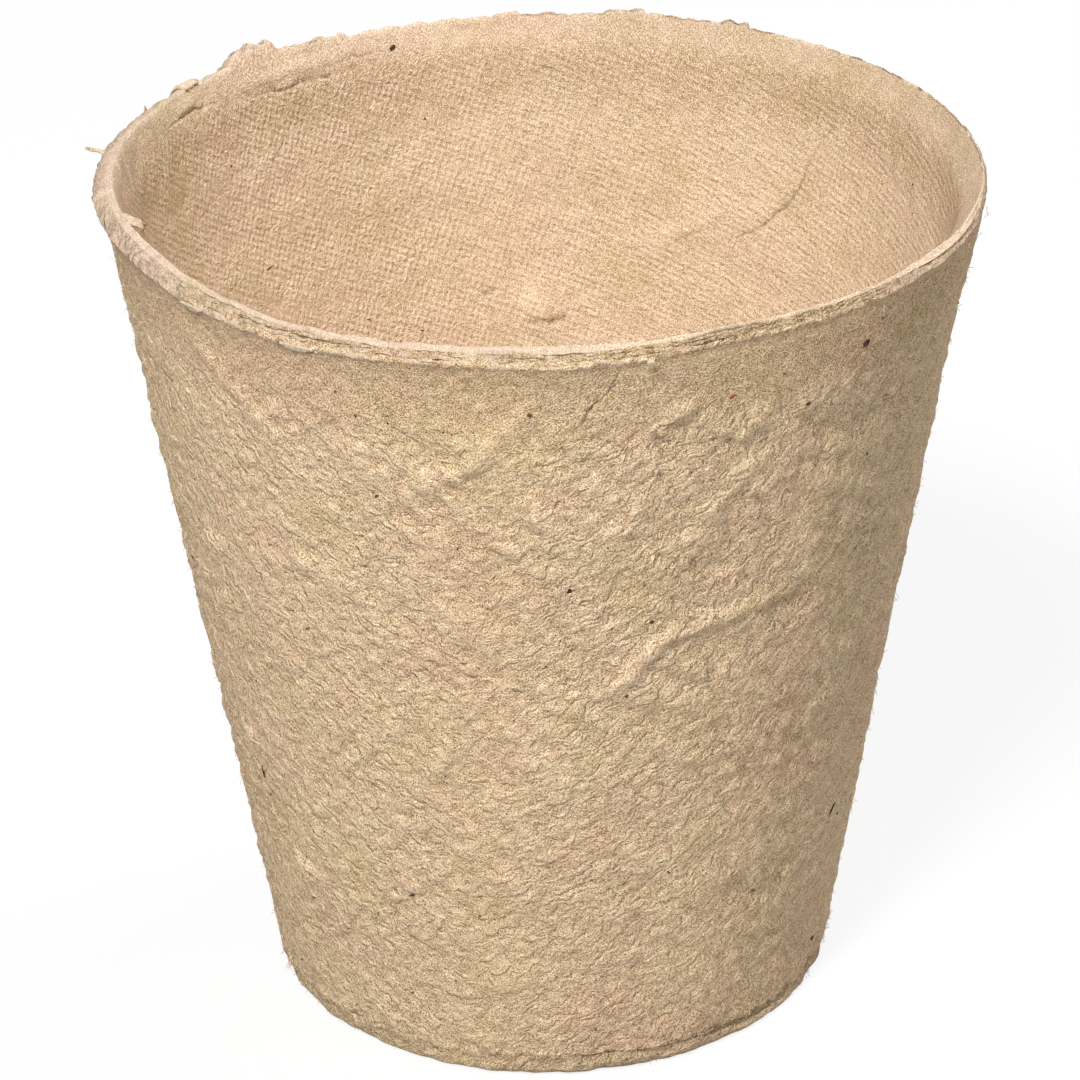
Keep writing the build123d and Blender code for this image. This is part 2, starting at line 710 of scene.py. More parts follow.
@dataclass(frozen=True)
class PulpFinish:
    """Look of felted pulp.

    Attributes:
        name: The material's name.
        dark: Colour of its darkest fibres.
        tone: Its usual colour.
        pale: Colour of its palest fibres.
        blush: Tint of its pinker patches.
        stain_and_shade: Tint of its greener patches.
        felt: How strongly the felted fibres vary in shade.
        grain: How strongly its finest grain varies in shade.
        nap: Height of the felted fibres, in millimetres.
        crease: Height of its fine creases, in millimetres.
        pebble: Height of its small lumps, in millimetres.
        weave: Depth of the forming screen's print, in millimetres.

    The patterns' sizes are in millimetres, across and along them, and their turns in radians. A share
    is how much a pattern counts in the shade.
    """

    name: str
    dark: Colour
    tone: Colour
    pale: Colour
    blush: Colour = (1.0, 0.95, 0.97)
    stain_and_shade: Colour = (0.95, 0.955, 0.88)
    felt: float = 1.0
    grain: float = 0.8
    nap: float = 0.03
    crease: float = 0.042
    pebble: float = 0.15
    weave: float = 0.0

    SCREEN_PITCH = (0.635, 0.635)
    SCREEN_TURN = math.radians(20.0)
    SCREEN_WAVER = (2.3, 2.3)
    FALLING = 0.8
    CLIMBING = -0.95
    LEFT_SIDE = -14.0 * MM
    RIGHT_SIDE = 3.0 * MM
    FIBRES = ((0.4, (0.13, 0.4)), (-0.95, (0.13, 0.34)))
    GRAIN = (0.12, 0.12)
    FLAKE = (1.1, 0.7)
    CREASE = (0.5, 1.0)
    WRINKLE = (1.25, 2.4)
    BEND_SIZE = 1.5
    BEND_REACH = 1.6
    BLOTCH = (4.0, 4.0)
    PATCH = 9.0 * MM
    LIP_TINT = (0.56, 0.43, 0.325)
    WORN_CALM = 0.8
    LIP_CALM = 0.5
    FLAKE_SHARE = 0.3
    # How much painted shade the hollows of the fine creases and lumps get.
    CREVICE_SHADE_SHARE = 0.2
    # How much the relief mark's painted highlight and shade counts in the shade.
    RELIEF_SHARE = 0.2
    # How much the screen's print is painted darker in its grooves and paler on its nubs.
    SCREEN_SHADE_SHARE = 0.6
    BLOTCH_SHARE = 0.12
    # How far the crack mark's painted shade covers the pulp, and how dark it is.
    CRACK_COVER = 0.85
    CRACK_DARK = 0.35

    def screen_height(self, graph: ShaderGraph, skin: bpy.types.NodeSocket) -> Value:
        """Relief that a plain woven screen leaves in the pulp.

        Args:
            graph: The shader to write it in.
            skin: Coordinates on the unrolled ply.

        Returns:
            Height from 0 in the wires' prints to 1 between them.
        """
        spot = graph.laid(skin, self.SCREEN_PITCH, self.SCREEN_TURN)
        axes = graph.node("ShaderNodeSeparateXYZ", None, {"Vector": spot}).outputs
        waver = graph.flat_noise(graph.laid(skin, self.SCREEN_WAVER, 0.0, 5.0)) * 0.12
        warp, weft = (((Value(graph, axes[i]) + waver) * math.pi).math("COSINE") for i in (0, 1))
        over = warp * weft * 0.55
        return 1.0 - 0.5 * (warp * warp * (1.0 + over) + weft * weft * (1.0 - over))

    def streaked(
        self,
        graph: ShaderGraph,
        skin: bpy.types.NodeSocket,
        right: Value,
        size: tuple[float, float],
        turn: float,
    ) -> Value:
        """A pattern with streaks that fall to the right on the pot's left side, and climb on its right side.

        Args:
            graph: The shader to write it in.
            skin: Coordinates on the unrolled ply.
            right: How far to the right the place is, from 0 to 1.
            size: Width and length of its streaks, in millimetres.
            turn: How far they are turned from the usual streaks, in radians.

        Returns:
            Numbers from about -1 to 1.
        """
        falling = graph.flat_noise(graph.laid(skin, size, self.FALLING + turn, 5.0 * turn + 2.0))
        climbing = graph.flat_noise(graph.laid(skin, size, self.CLIMBING + turn, 7.0 * turn + 4.0))
        return falling * (1.0 - right) + climbing * right

    def felted(self, graph: ShaderGraph, skin: bpy.types.NodeSocket, right: Value) -> Value:
        """Short fibres lying across each other.

        Args:
            graph: The shader to write them in.
            skin: Coordinates on the unrolled ply.
            right: How far to the right the place is, from 0 to 1.

        Returns:
            Numbers from about -1 between the fibres to 1 on them.
        """
        layers = [self.streaked(graph, skin, right, size, turn) for turn, size in self.FIBRES]
        return layers[0].math("MAXIMUM", layers[1]) - 0.3

    def surface(self, graph: ShaderGraph) -> tuple[Value, Value]:
        """Shade and fine relief of the pulp.

        Args:
            graph: The shader to write them in.

        Returns:
            How pale it is, from about -2 to 2, and its height, in millimetres.
        """
        skin = graph.node("ShaderNodeUVMap", {"uv_map": Mark.SKIN.value}).outputs["UV"]
        side = graph.node("ShaderNodeSeparateXYZ", None, {"Vector": graph.object_place()}).outputs[0]
        right = Value(graph, side).step(self.LEFT_SIDE, self.RIGHT_SIDE)
        felt = self.felted(graph, skin, right)
        grain = graph.flat_noise(graph.laid(skin, self.GRAIN, 0.8), 0.0)
        flake = graph.flat_noise(graph.laid(skin, self.FLAKE, 0.5, 6.0))
        worn = graph.mark(Mark.WORN)
        calm = 1.0 - worn * self.WORN_CALM
        bent = graph.strayed(skin, self.BEND_SIZE, self.BEND_REACH)
        creases = abs(self.streaked(graph, bent, right, self.CREASE, 0.1)).step(0.0, 0.6)
        lumps = abs(self.streaked(graph, bent, right, self.WRINKLE, 0.0)).step(0.0, 0.9)
        # Painted shade in the hollows of the fine creases and lumps.
        crevice_shade = (2.0 - lumps.step(0.0, 0.1) - creases.step(0.0, 0.2)) * self.CREVICE_SHADE_SHARE * calm
        mottle = felt + grain * self.grain + flake * self.FLAKE_SHARE - crevice_shade
        mottle = mottle * (1.0 - graph.mark(Mark.LIP) * self.LIP_CALM)
        # The relief mark adds painted highlight on raised relief and painted shade in its hollows and below
        # the lip.
        shade = mottle * self.felt + graph.mark(Mark.PAINTED_LIGHT_AND_BROWN) * self.RELIEF_SHARE
        height = felt * self.nap + (creases * self.crease + lumps * self.pebble) * calm
        if self.weave > 0.0:
            blotch = graph.flat_noise(graph.laid(skin, self.BLOTCH, 0.0, 9.0), 2.0)
            share = (blotch.step(-1.2, 0.4) * 0.6 + 0.4) * (1.0 - worn)
            screen = self.screen_height(graph, skin)
            # Painted shade in the wires' prints and painted highlight on the nubs between them; the blotches
            # are the pulp's own.
            shade = shade + (screen - 0.5) * share * self.SCREEN_SHADE_SHARE + blotch * self.BLOTCH_SHARE
            height = height + screen * share * self.weave
        return shade, height

    def colour(self, graph: ShaderGraph, shade: Value) -> bpy.types.NodeSocket:
        """Colour of the pulp.

        Args:
            graph: The shader to write it in.
            shade: How pale the pulp is.

        Returns:
            The colour.
        """
        patch = graph.noise(graph.object_place(), self.PATCH, 5.0, 0.6)
        base = graph.mix(graph.mark(Mark.LIP), self.tone, self.LIP_TINT)
        colour = graph.mix(shade.step(-0.25, 1.5), base, self.pale)
        colour = graph.mix((shade * -1.0).step(-0.1, 1.6), colour, self.dark)
        colour = graph.mix(patch.step(-0.2, 0.8), colour, self.blush, "MULTIPLY")
        colour = graph.mix((patch * -1.0).step(-0.1, 0.9), colour, self.stain_and_shade, "MULTIPLY")
        # Painted shade in cracks, pits and along dents, read from the crack mark.
        crack = tuple(self.CRACK_DARK * part for part in self.dark)
        return graph.mix(graph.mark(Mark.CRACK) * self.CRACK_COVER, colour, crack)

    def material(self) -> bpy.types.Material:
        """Builds the finish.

        Returns:
            The material.
        """
        graph = ShaderGraph(self.name)
        shade, height = self.surface(graph)
        return graph.finish(self.colour(graph, shade), height)


@dataclass(frozen=True)
class PlainFinish:
    """Look of a bit that is all one colour, but for a little grain."""

    name: str
    tone: Colour
    pale: Colour

    def material(self) -> bpy.types.Material:
        """Builds the finish.

        Returns:
            The material.
        """
        graph = ShaderGraph(self.name)
        grain = graph.noise(graph.object_place(), 0.25 * MM, 2.0)
        return graph.finish(graph.mix(grain.step(-0.6, 0.8), self.tone, self.pale), grain * 0.02)


OUTER_PULP = PulpFinish("outer_pulp", (0.30, 0.192, 0.096), (0.775, 0.562, 0.35), (1.0, 0.85, 0.62))
# Darker than the wall's pulp: partly its own colour, partly painted shade of the low corner by the floor.
BASE_PULP = PulpFinish("base_pulp", (0.24, 0.158, 0.078), (0.585, 0.432, 0.262), (0.84, 0.69, 0.485))
CORE_PULP = PulpFinish("core_pulp", (0.24, 0.15, 0.075), (0.59, 0.44, 0.265), (0.87, 0.71, 0.50))
SCREEN_PULP = PulpFinish(
    "screen_side_pulp",
    (0.40, 0.27, 0.152),
    (0.745, 0.562, 0.383),
    (0.96, 0.80, 0.605),
    blush=(1.0, 0.955, 0.97),
    stain_and_shade=(0.90, 0.90, 0.80),
    felt=0.88,
    grain=1.15,
    nap=0.03,
    crease=0.02,
    pebble=0.05,
    weave=0.08,
)
TORN_PULP = PlainFinish("torn_pulp", (0.52, 0.395, 0.27), (0.74, 0.60, 0.44))
FIBRE = PlainFinish("loose_fibre", (0.62, 0.47, 0.31), (0.84, 0.70, 0.52))
BARK = PlainFinish("bark_fleck", (0.05, 0.032, 0.02), (0.14, 0.085, 0.05))
RED_PAPER = PlainFinish("red_fleck", (0.30, 0.07, 0.05), (0.45, 0.16, 0.11))
INK = PlainFinish("ink_fleck", (0.03, 0.018, 0.04), (0.08, 0.045, 0.09))


class SectionPen:
    """Draws a ply's section in the XZ plane, as one chain of edges."""

    def __init__(self, mesh: bmesh.types.BMesh, radius: float, height: float) -> None:
        """Puts the pen down.

        Args:
            mesh: The mesh to draw in.
            radius: Radius of the first point.
            height: Height of the first point.
        """
        self.mesh = mesh
        self.first = self.index_of(bmesh.ops.create_vert(mesh, co=(radius, 0.0, height))["vert"][0])
        self.last = self.first

    def index_of(self, vert: bmesh.types.BMVert) -> int:
        """Index of a vertex, which outlasts the operators that renew the mesh's layers."""
        self.mesh.verts.index_update()
        return vert.index

    def vert(self, index: int) -> bmesh.types.BMVert:
        """The vertex with an index."""
        self.mesh.verts.ensure_lookup_table()
        return self.mesh.verts[index]

    def line(self, radius: float, height: float, rows: int) -> None:
        """Draws a straight line.

        Args:
            radius: Radius of its end.
            height: Height of its end.
            rows: How many edges it is divided into.
        """
        made = bmesh.ops.extrude_vert_indiv(self.mesh, verts=[self.vert(self.last)])
        made["verts"][0].co = (radius, 0.0, height)
        self.last = self.index_of(made["verts"][0])
        bmesh.ops.subdivide_edges(self.mesh, edges=made["edges"], cuts=rows - 1)

    def arc(self, centre: tuple[float, float], angle: float, rows: int) -> None:
        """Draws an arc.

        Args:
            centre: Radius and height of the arc's centre.
            angle: Turn about it, in radians, positive from outward to upward on its near side.
            rows: How many edges it is divided into.
        """
        middle = (centre[0], 0.0, centre[1])
        made = bmesh.ops.spin(
            self.mesh, geom=[self.vert(self.last)], cent=middle, axis=(0, 1, 0), angle=angle, steps=rows
        )
        ends = [part for part in made["geom_last"] if isinstance(part, bmesh.types.BMVert)]
        self.last = self.index_of(ends[0])

    def close(self, rows: int) -> None:
        """Joins the end of the chain to its start.

        Args:
            rows: How many edges the joint is divided into.
        """
        edge = self.mesh.edges.new((self.vert(self.last), self.vert(self.first)))
        bmesh.ops.subdivide_edges(self.mesh, edges=[edge], cuts=rows - 1)


Spots = Sequence[tuple[float, float]]


def eased(skin: Skin, spots: Spots) -> np.ndarray:
    """A length that changes from spot to spot round the axis.

    Args:
        skin: Places on the pot.
        spots: Azimuth in degrees of each spot, and the length there, in millimetres.

    Returns:
        The lengths at the places, in metres.
    """
    angles, lengths = zip(*spots)
    return np.interp(skin.azimuth, angles, lengths, period=360.0) * MM


class RimLine:
    """How the rim departs from a level ring.

    The tables give, round the axis: how far it waves up and down and reaches out, how round, slanted
    and frayed its cut edge is, how far its plies are pinched thin, how far the innermost ply's edge
    spreads over the others and the core plies draw back under it, how pale the edge is pressed, and
    how brown the other plies' edges are. A tab's entry is its azimuth and half width in degrees, and
    its lift in millimetres.
    """

    WAVE = (
        (0.0, 0.1), (30.0, 0.15), (75.0, 0.15), (95.0, -0.25), (115.0, -0.4), (133.0, -0.2),
        (150.0, 0.0), (180.0, 0.2), (205.0, 0.45), (235.0, -0.7), (258.0, -0.45), (275.0, -0.4),
        (284.0, -0.1), (293.0, 0.35), (330.0, 0.0),
    )
    REACH = (
        (0.0, 0.4), (20.0, 0.35), (45.0, 0.15), (150.0, 0.0), (157.0, -0.2), (164.0, 0.0),
        (171.0, 0.2), (179.0, 0.0), (310.0, 0.1), (340.0, 0.5),
    )
    CROWN = (
        (0.0, 0.1), (60.0, 0.04), (120.0, 0.04), (150.0, 0.15), (180.0, 0.28), (215.0, 0.22),
        (250.0, 0.12),
    )
    SLANT = (
        (0.0, 0.5), (40.0, 0.35), (90.0, 0.1), (180.0, 0.0), (230.0, 0.1), (275.0, 0.2),
        (295.0, 0.6), (315.0, 0.7), (325.0, 0.45), (345.0, 0.5),
    )
    FRAY = (
        (0.0, 0.25), (60.0, 0.8), (120.0, 1.0), (180.0, 0.5), (203.0, 1.2), (235.0, 1.2),
        (260.0, 0.8), (275.0, 0.8), (295.0, 0.4), (330.0, 0.35),
    )
    PINCH = (
        (40.0, 0.6), (100.0, 0.4), (135.0, 0.2), (160.0, 0.0), (272.0, 0.0), (288.0, 0.35),
        (315.0, 0.45), (328.0, 0.35), (338.0, 0.5), (350.0, 0.65),
    )
    SPREAD = (
        (235.0, 0.0), (248.0, 0.15), (274.0, 0.15), (282.0, 0.0), (315.0, 0.0), (321.0, 0.1),
        (327.0, 0.3), (334.0, 0.3), (341.0, 0.15), (350.0, 0.0),
    )
    DRAWN = ((318.0, 0.0), (326.0, 0.06), (336.0, 0.06), (350.0, 0.0))
    PALE = (
        (0.0, 0.4), (60.0, 0.6), (140.0, 0.8), (165.0, 1.0), (240.0, 1.0), (275.0, 0.9),
        (288.0, 0.2), (314.0, 0.1), (322.0, 0.6), (340.0, 0.45),
    )
    BROWN = (
        (188.0, 0.0), (203.0, 0.8), (240.0, 0.9), (278.0, 0.9), (290.0, 1.2), (316.0, 1.2),
        (325.0, 0.3), (335.0, 0.0),
    )
    TABS = ((134.8, 4.5, 0.8), (127.0, 8.0, 0.3), (94.6, 2.0, 0.25), (77.5, 3.0, 0.3), (61.0, 2.0, 0.3))
    WAVE_START = 55.0 * MM
    REACH_START = 64.0 * MM

    @classmethod
    def tabs(cls, skin: Skin) -> np.ndarray:
        """Torn tabs that stand above the rim.

        Args:
            skin: Places on a ply.

        Returns:
            How far the tabs lift the places, in metres.
        """
        ring = cls.ring(skin)
        rise = np.zeros(len(skin.points))
        frayed = 1.0 + 0.7 * noise_at(ring, 1.1 * MM, 15) + 0.4 * noise_at(ring, 0.5 * MM, 16)
        stray = 0.6 * noise_at(ring, 0.9 * MM, 17)
        for azimuth, half_width, lift in cls.TABS:
            away = np.abs(skin.arc_from(azimuth) + stray)
            rise += lift * MM * smooth_step(away, half_width * 1.06, half_width * 0.92) * frayed
        return rise

    @staticmethod
    def ring(skin: Skin) -> np.ndarray:
        """Places on a ring round the rim, at the skin's azimuths."""
        turn = np.radians(skin.azimuth)
        return np.column_stack([np.cos(turn), np.sin(turn), np.zeros(len(turn))]) * skin.shape.rim_radius

    @staticmethod
    def apart(skin: Skin) -> np.ndarray:
        """How far the plies' edges differ: fully at the front, and not where they are felted together."""
        return skin.beside(262.0, 50.0, 24.0)

    @classmethod
    def parted(cls, skin: Skin, seed: int) -> np.ndarray:
        """How far the plies part at the rim: most at the front, hardly elsewhere.

        Args:
            skin: Places on a ply.
            seed: Picks one of many unlike edges.

        Returns:
            Numbers from 0 to about 1.3.
        """
        ring = cls.ring(skin)
        broken = 0.4 + noise_at(ring, 3.5 * MM, seed) + 0.9 * noise_at(ring, 0.9 * MM, seed + 1)
        return np.clip(broken, 0.0, 1.3) * (0.05 + 0.95 * cls.apart(skin))

    @classmethod
    def sway(cls, skin: Skin) -> np.ndarray:
        """How the upper wall reaches out and waves with the rim.

        Args:
            skin: Places on the pot.

        Returns:
            Vectors in metres, one row for each place.
        """
        reach, wave = (
            smooth_step(skin.along, start, skin.shape.length) for start in (cls.REACH_START, cls.WAVE_START)
        )
        moved = skin.outward * np.array([1.0, 1.0, 0.0]) * (eased(skin, cls.REACH) * reach)[:, None]
        moved[:, 2] += eased(skin, cls.WAVE) * wave
        return moved

    @classmethod
    def ragged(cls, skin: Skin, reach: float, seed: int) -> np.ndarray:
        """Ragged edge of one ply, in metres.

        Args:
            skin: Places on the ply.
            reach: How far the edge strays, in metres.
            seed: Picks an edge unlike the other plies'.

        Returns:
            How far the edge moves along the lip.
        """
        ring = cls.ring(skin)
        coarse = noise_at(ring, 5.0 * MM, seed)
        middle = noise_at(ring, 1.7 * MM, seed + 1)
        fine = noise_at(ring, 0.6 * MM, seed + 2)
        return reach * (0.7 * coarse + 0.8 * middle + 0.7 * fine)


class SeamLine:
    """How the seam above the base departs from a level ring, and where it has cracked open."""

    DROP = ((282.0, 0.0), (297.0, -0.6), (322.0, -0.8), (336.0, -0.3), (350.0, 0.0))
    CRACK = ((291.0, 0.0), (298.0, 0.13), (315.0, 0.22), (323.0, 0.15), (328.0, 0.0))

    @classmethod
    def shift(cls, skin: Skin) -> np.ndarray:
        """How far both plies at the seam are shifted.

        Args:
            skin: Places on a ply.

        Returns:
            Shifts up along the wall, in metres.
        """
        near = np.exp(-(((skin.along - skin.shape.seam_along) / (1.3 * MM)) ** 2))
        stray = 0.3 * MM * noise_at(RimLine.ring(skin), 3.0 * MM, 51)
        return (eased(skin, cls.DROP) + stray) * near

    @classmethod
    def crack(cls, skin: Skin) -> np.ndarray:
        """How far the crack lifts the edge above it.

        Args:
            skin: Places on a ply.

        Returns:
            Lifts up along the wall, in metres.
        """
        near = np.exp(-(((skin.along - skin.shape.seam_along) / (0.35 * MM)) ** 2))
        broken = np.clip(0.8 + 1.2 * noise_at(RimLine.ring(skin), 1.4 * MM, 52), 0.0, 1.5)
        return eased(skin, cls.CRACK) * broken * near


class OutsideRelief:
    """Relief of the fuzzy, wrinkled outside of the wall.

    A side's entry is its azimuth and the angles from it at which it ends and is full, in degrees. A
    pattern's size is across, across and up, and a slant turns it about the axis, in radians per metre.
    Heights are in millimetres.
    """

    LEFT = (212.0, 75.0, 35.0)
    RIGHT = (290.0, 65.0, 20.0)
    STREAK = np.array([1.8, 1.8, 5.0]) * MM
    CRUMPLE = np.array([3.4, 3.4, 9.0]) * MM
    PEBBLE = np.array([1.9, 1.9, 1.4]) * MM
    FALLING_SLANT = -31.0
    CLIMBING_SLANT = 27.0
    CRUMPLE_SLANT = 30.0
    WRINKLE_HEIGHT = 0.4
    CRUMPLE_HEIGHT = 0.42
    PEBBLE_HEIGHT = 0.2
    LUMP_HEIGHT = 0.12
    BROAD_HEIGHT = 0.06
    LIP_CALM = 0.75

    # A fold's last number is the painted shade along it.
    FOLDS = (
        Fold(((278.8, 41.6), (282.2, 44.2), (286.5, 46.8), (295.2, 48.1), (307.3, 48.7)), 0.55, 0.5),
        Fold(((252.0, 62.1), (258.9, 64.2), (263.2, 67.3), (267.6, 71.1)), 0.8, 0.38),
        Fold(((273.2, 68.5), (275.4, 70.3), (277.6, 72.0), (278.4, 72.9), (279.4, 74.4)), 0.1, -0.18, 0.85),
        Fold(((274.9, 71.4), (276.9, 71.6)), 0.1, -0.08, 0.3),
        Fold(((289.1, 63.6), (289.7, 64.0)), 0.16, -0.22, 0.7),
        Fold(((278.3, 64.6), (278.9, 64.8)), 0.14, -0.18, 0.6),
        Fold(((285.1, 56.8), (285.6, 57.2)), 0.14, -0.18, 0.6),
        Fold(((268.8, 66.6), (272.3, 69.4)), 0.8, 0.2),
        Fold(((284.4, 68.0), (286.6, 68.9), (289.1, 69.9)), 0.55, 0.4),
        Fold(((283.8, 67.1), (284.4, 65.9), (285.4, 64.7)), 0.1, -0.12, 0.45),
        Fold(((268.3, 62.0), (267.4, 60.9), (267.7, 59.5), (267.9, 58.4)), 0.1, -0.14, 0.45),
        Fold(((269.0, 63.0), (268.6, 60.0), (269.2, 56.5)), 0.9, 0.3),
        Fold(((207.2, 60.6), (207.5, 64.2)), 0.15, -0.25, 0.8),
        Fold(((206.3, 63.8), (210.6, 64.5)), 0.15, -0.25, 0.7),
        Fold(((249.4, 31.6), (252.9, 34.4), (253.8, 36.8)), 0.5, 0.3),
        Fold(((217.5, 72.1), (225.3, 68.3), (233.0, 64.0)), 0.7, 0.3),
        Fold(((232.5, 52.6), (235.3, 51.6)), 0.8, 0.45),
        Fold(((206.5, 29.6), (211.3, 28.8)), 0.8, 0.5),
        Fold(((217.0, 18.5), (221.4, 16.1)), 0.8, 0.5),
        Fold(((258.0, 9.9), (263.5, 10.8)), 1.0, 0.4),
        Fold(((210.5, 50.5), (214.3, 48.9)), 0.8, 0.45),
        Fold(((289.0, 55.5), (293.0, 58.5), (297.0, 62.5)), 0.9, 0.3),
        Fold(((276.0, 56.0), (280.5, 58.8), (284.0, 61.5)), 0.9, 0.3),
        Fold(((295.5, 65.0), (299.0, 67.5)), 0.7, 0.25),
    )

    def heights(self, skin: Skin) -> tuple[np.ndarray, np.ndarray]:
        """Relief of the outside face, and painted shade in its cracks, pits and dents.

        Args:
            skin: Places on the outside face.

        Returns:
            How far each place stands proud, in metres, and how much painted shade it has.
        """
        left, right = skin.beside(*self.LEFT), skin.beside(*self.RIGHT)
        rest = np.clip(1.0 - left - right, 0.0, 1.0)
        warp = 0.5 * MM * np.column_stack([noise_at(skin.points, 1.9 * MM, seed) for seed in (7, 8, 9)])
        places = skin.points + warp
        falling = billow_at(twisted(places, self.FALLING_SLANT), self.STREAK, 1)
        climbing = billow_at(twisted(places, self.CLIMBING_SLANT), self.STREAK, 2)
        crumple = billow_at(twisted(places, self.CRUMPLE_SLANT), self.CRUMPLE, 10)
        pebble = billow_at(places, self.PEBBLE, 6)
        patchy = smooth_step(noise_at(skin.points, 9.0 * MM, 3), -0.3, 0.3)
        broad = noise_at(skin.points, 17.0 * MM, 4)
        lump = noise_at(skin.points, 4.2 * MM, 5)
        calm = 0.6 + 0.4 * smooth_step(skin.along, 10.0 * MM, 50.0 * MM)
        wrinkle = falling * (left + 0.5 * rest) + climbing * (right * calm + 0.5 * rest)
        wrinkle /= left + right + rest
        height = self.LUMP_HEIGHT * lump + self.PEBBLE_HEIGHT * (pebble - 0.9)
        height += self.WRINKLE_HEIGHT * (wrinkle - 0.9) * (0.4 + 0.6 * patchy)
        height += self.CRUMPLE_HEIGHT * (crumple - 0.8) * right * calm
        height *= 1.0 - self.LIP_CALM * skin.near_rim(9.0 * MM, 3.0 * MM)
        height += self.BROAD_HEIGHT * broad
        lift, stain_and_shade = folded(skin, self.FOLDS)
        return (height + lift) * MM, stain_and_shade


class InsideRelief:
    """Relief of the inside, which the forming screen leaves flatter. Heights are in millimetres."""

    BROAD_HEIGHT = 0.22
    LUMP_HEIGHT = 0.13
    NUB_HEIGHT = 0.09
    KNOT_HEIGHT = 0.12

    # A fold's last number is the painted shade along it.
    FOLDS = (
        Fold(((38.8, 73.4), (40.7, 69.6), (42.9, 67.4), (44.3, 65.3)), 0.12, -0.1, 0.25),
        Fold(
            ((42.9, 67.4), (45.6, 63.4), (48.0, 60.9), (50.3, 59.5), (53.4, 58.1), (56.0, 57.0)),
            0.12, -0.2, 0.7,
        ),
        Fold(((46.4, 66.0), (48.2, 63.0), (49.8, 61.0), (54.5, 58.6)), 0.9, 0.2),
        Fold(((58.1, 60.1), (64.9, 57.2), (73.4, 54.5)), 1.1, 0.26),
        Fold(((58.5, 59.0), (64.5, 56.3), (69.0, 55.0)), 0.16, -0.08, 0.15),
        Fold(((88.5, 48.9), (93.5, 48.5)), 2.2, 0.6),
        Fold(((93.0, 47.6), (88.0, 47.0), (86.0, 48.0)), 0.4, -0.3, 0.45),
        Fold(((100.5, 50.0), (98.4, 50.5)), 0.3, -0.2, 0.5),
        Fold(((139.0, 73.4), (132.5, 73.1), (127.0, 73.1), (121.4, 73.3), (117.5, 73.6)), 0.11, -0.22, 0.85),
        Fold(((150.5, 59.6), (146.9, 57.0), (141.5, 57.2)), 1.6, 0.1, 0.12),
        Fold(((119.0, 74.4), (113.5, 74.4)), 0.14, -0.12, 0.3),
        Fold(((141.0, 74.3), (129.9, 74.5), (119.0, 74.8)), 0.5, 0.22),
        Fold(((157.3, 74.5), (150.8, 74.3), (144.6, 74.0)), 0.14, -0.14, 0.3),
        Fold(((154.0, 75.0), (149.0, 75.0)), 0.5, 0.2),
    )

    def heights(self, skin: Skin) -> tuple[np.ndarray, np.ndarray]:
        """Relief of the inside face, and painted shade in its cracks and dents.

        Args:
            skin: Places on the inside face.

        Returns:
            How far each place stands proud into the pot, in metres, and how much painted shade it has.
        """
        broad = noise_at(skin.points, 14.0 * MM, 11)
        lump = noise_at(skin.points, 4.5 * MM, 12)
        nub = noise_at(skin.points, 1.7 * MM, 13)
        knot = billow_at(skin.points, 1.7 * MM, 14) - 0.7
        rough = skin.beside(175.0, 50.0, 25.0) * skin.near_rim(16.0 * MM, 8.0 * MM)
        height = self.BROAD_HEIGHT * broad + self.LUMP_HEIGHT * lump + self.NUB_HEIGHT * nub
        height += self.KNOT_HEIGHT * rough * knot
        lift, stain_and_shade = folded(skin, self.FOLDS)
        return (height + lift) * MM, stain_and_shade


def add_piece(
    name: str, mesh: bpy.types.Mesh, material: bpy.types.Material, node: str = ""
) -> bpy.types.Object:
    """Puts a finished mesh into the scene as a piece of the pot.

    Args:
        name: The piece's name.
        mesh: Its mesh, in the pot's frame.
        material: Its material.
        node: The solid that it stands for, if any.

    Returns:
        The piece.
    """
    mesh.materials.append(material)
    mesh.polygons.foreach_set("use_smooth", np.ones(len(mesh.polygons), bool))
    piece = bpy.data.objects.new(name, mesh)
    bpy.context.scene.collection.objects.link(piece)
    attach(piece, "root")
    if node:
        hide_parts(node)
    mesh.calc_loop_triangles()
    LOG.info("%s: %d triangles", name, len(mesh.loop_triangles))
    return piece


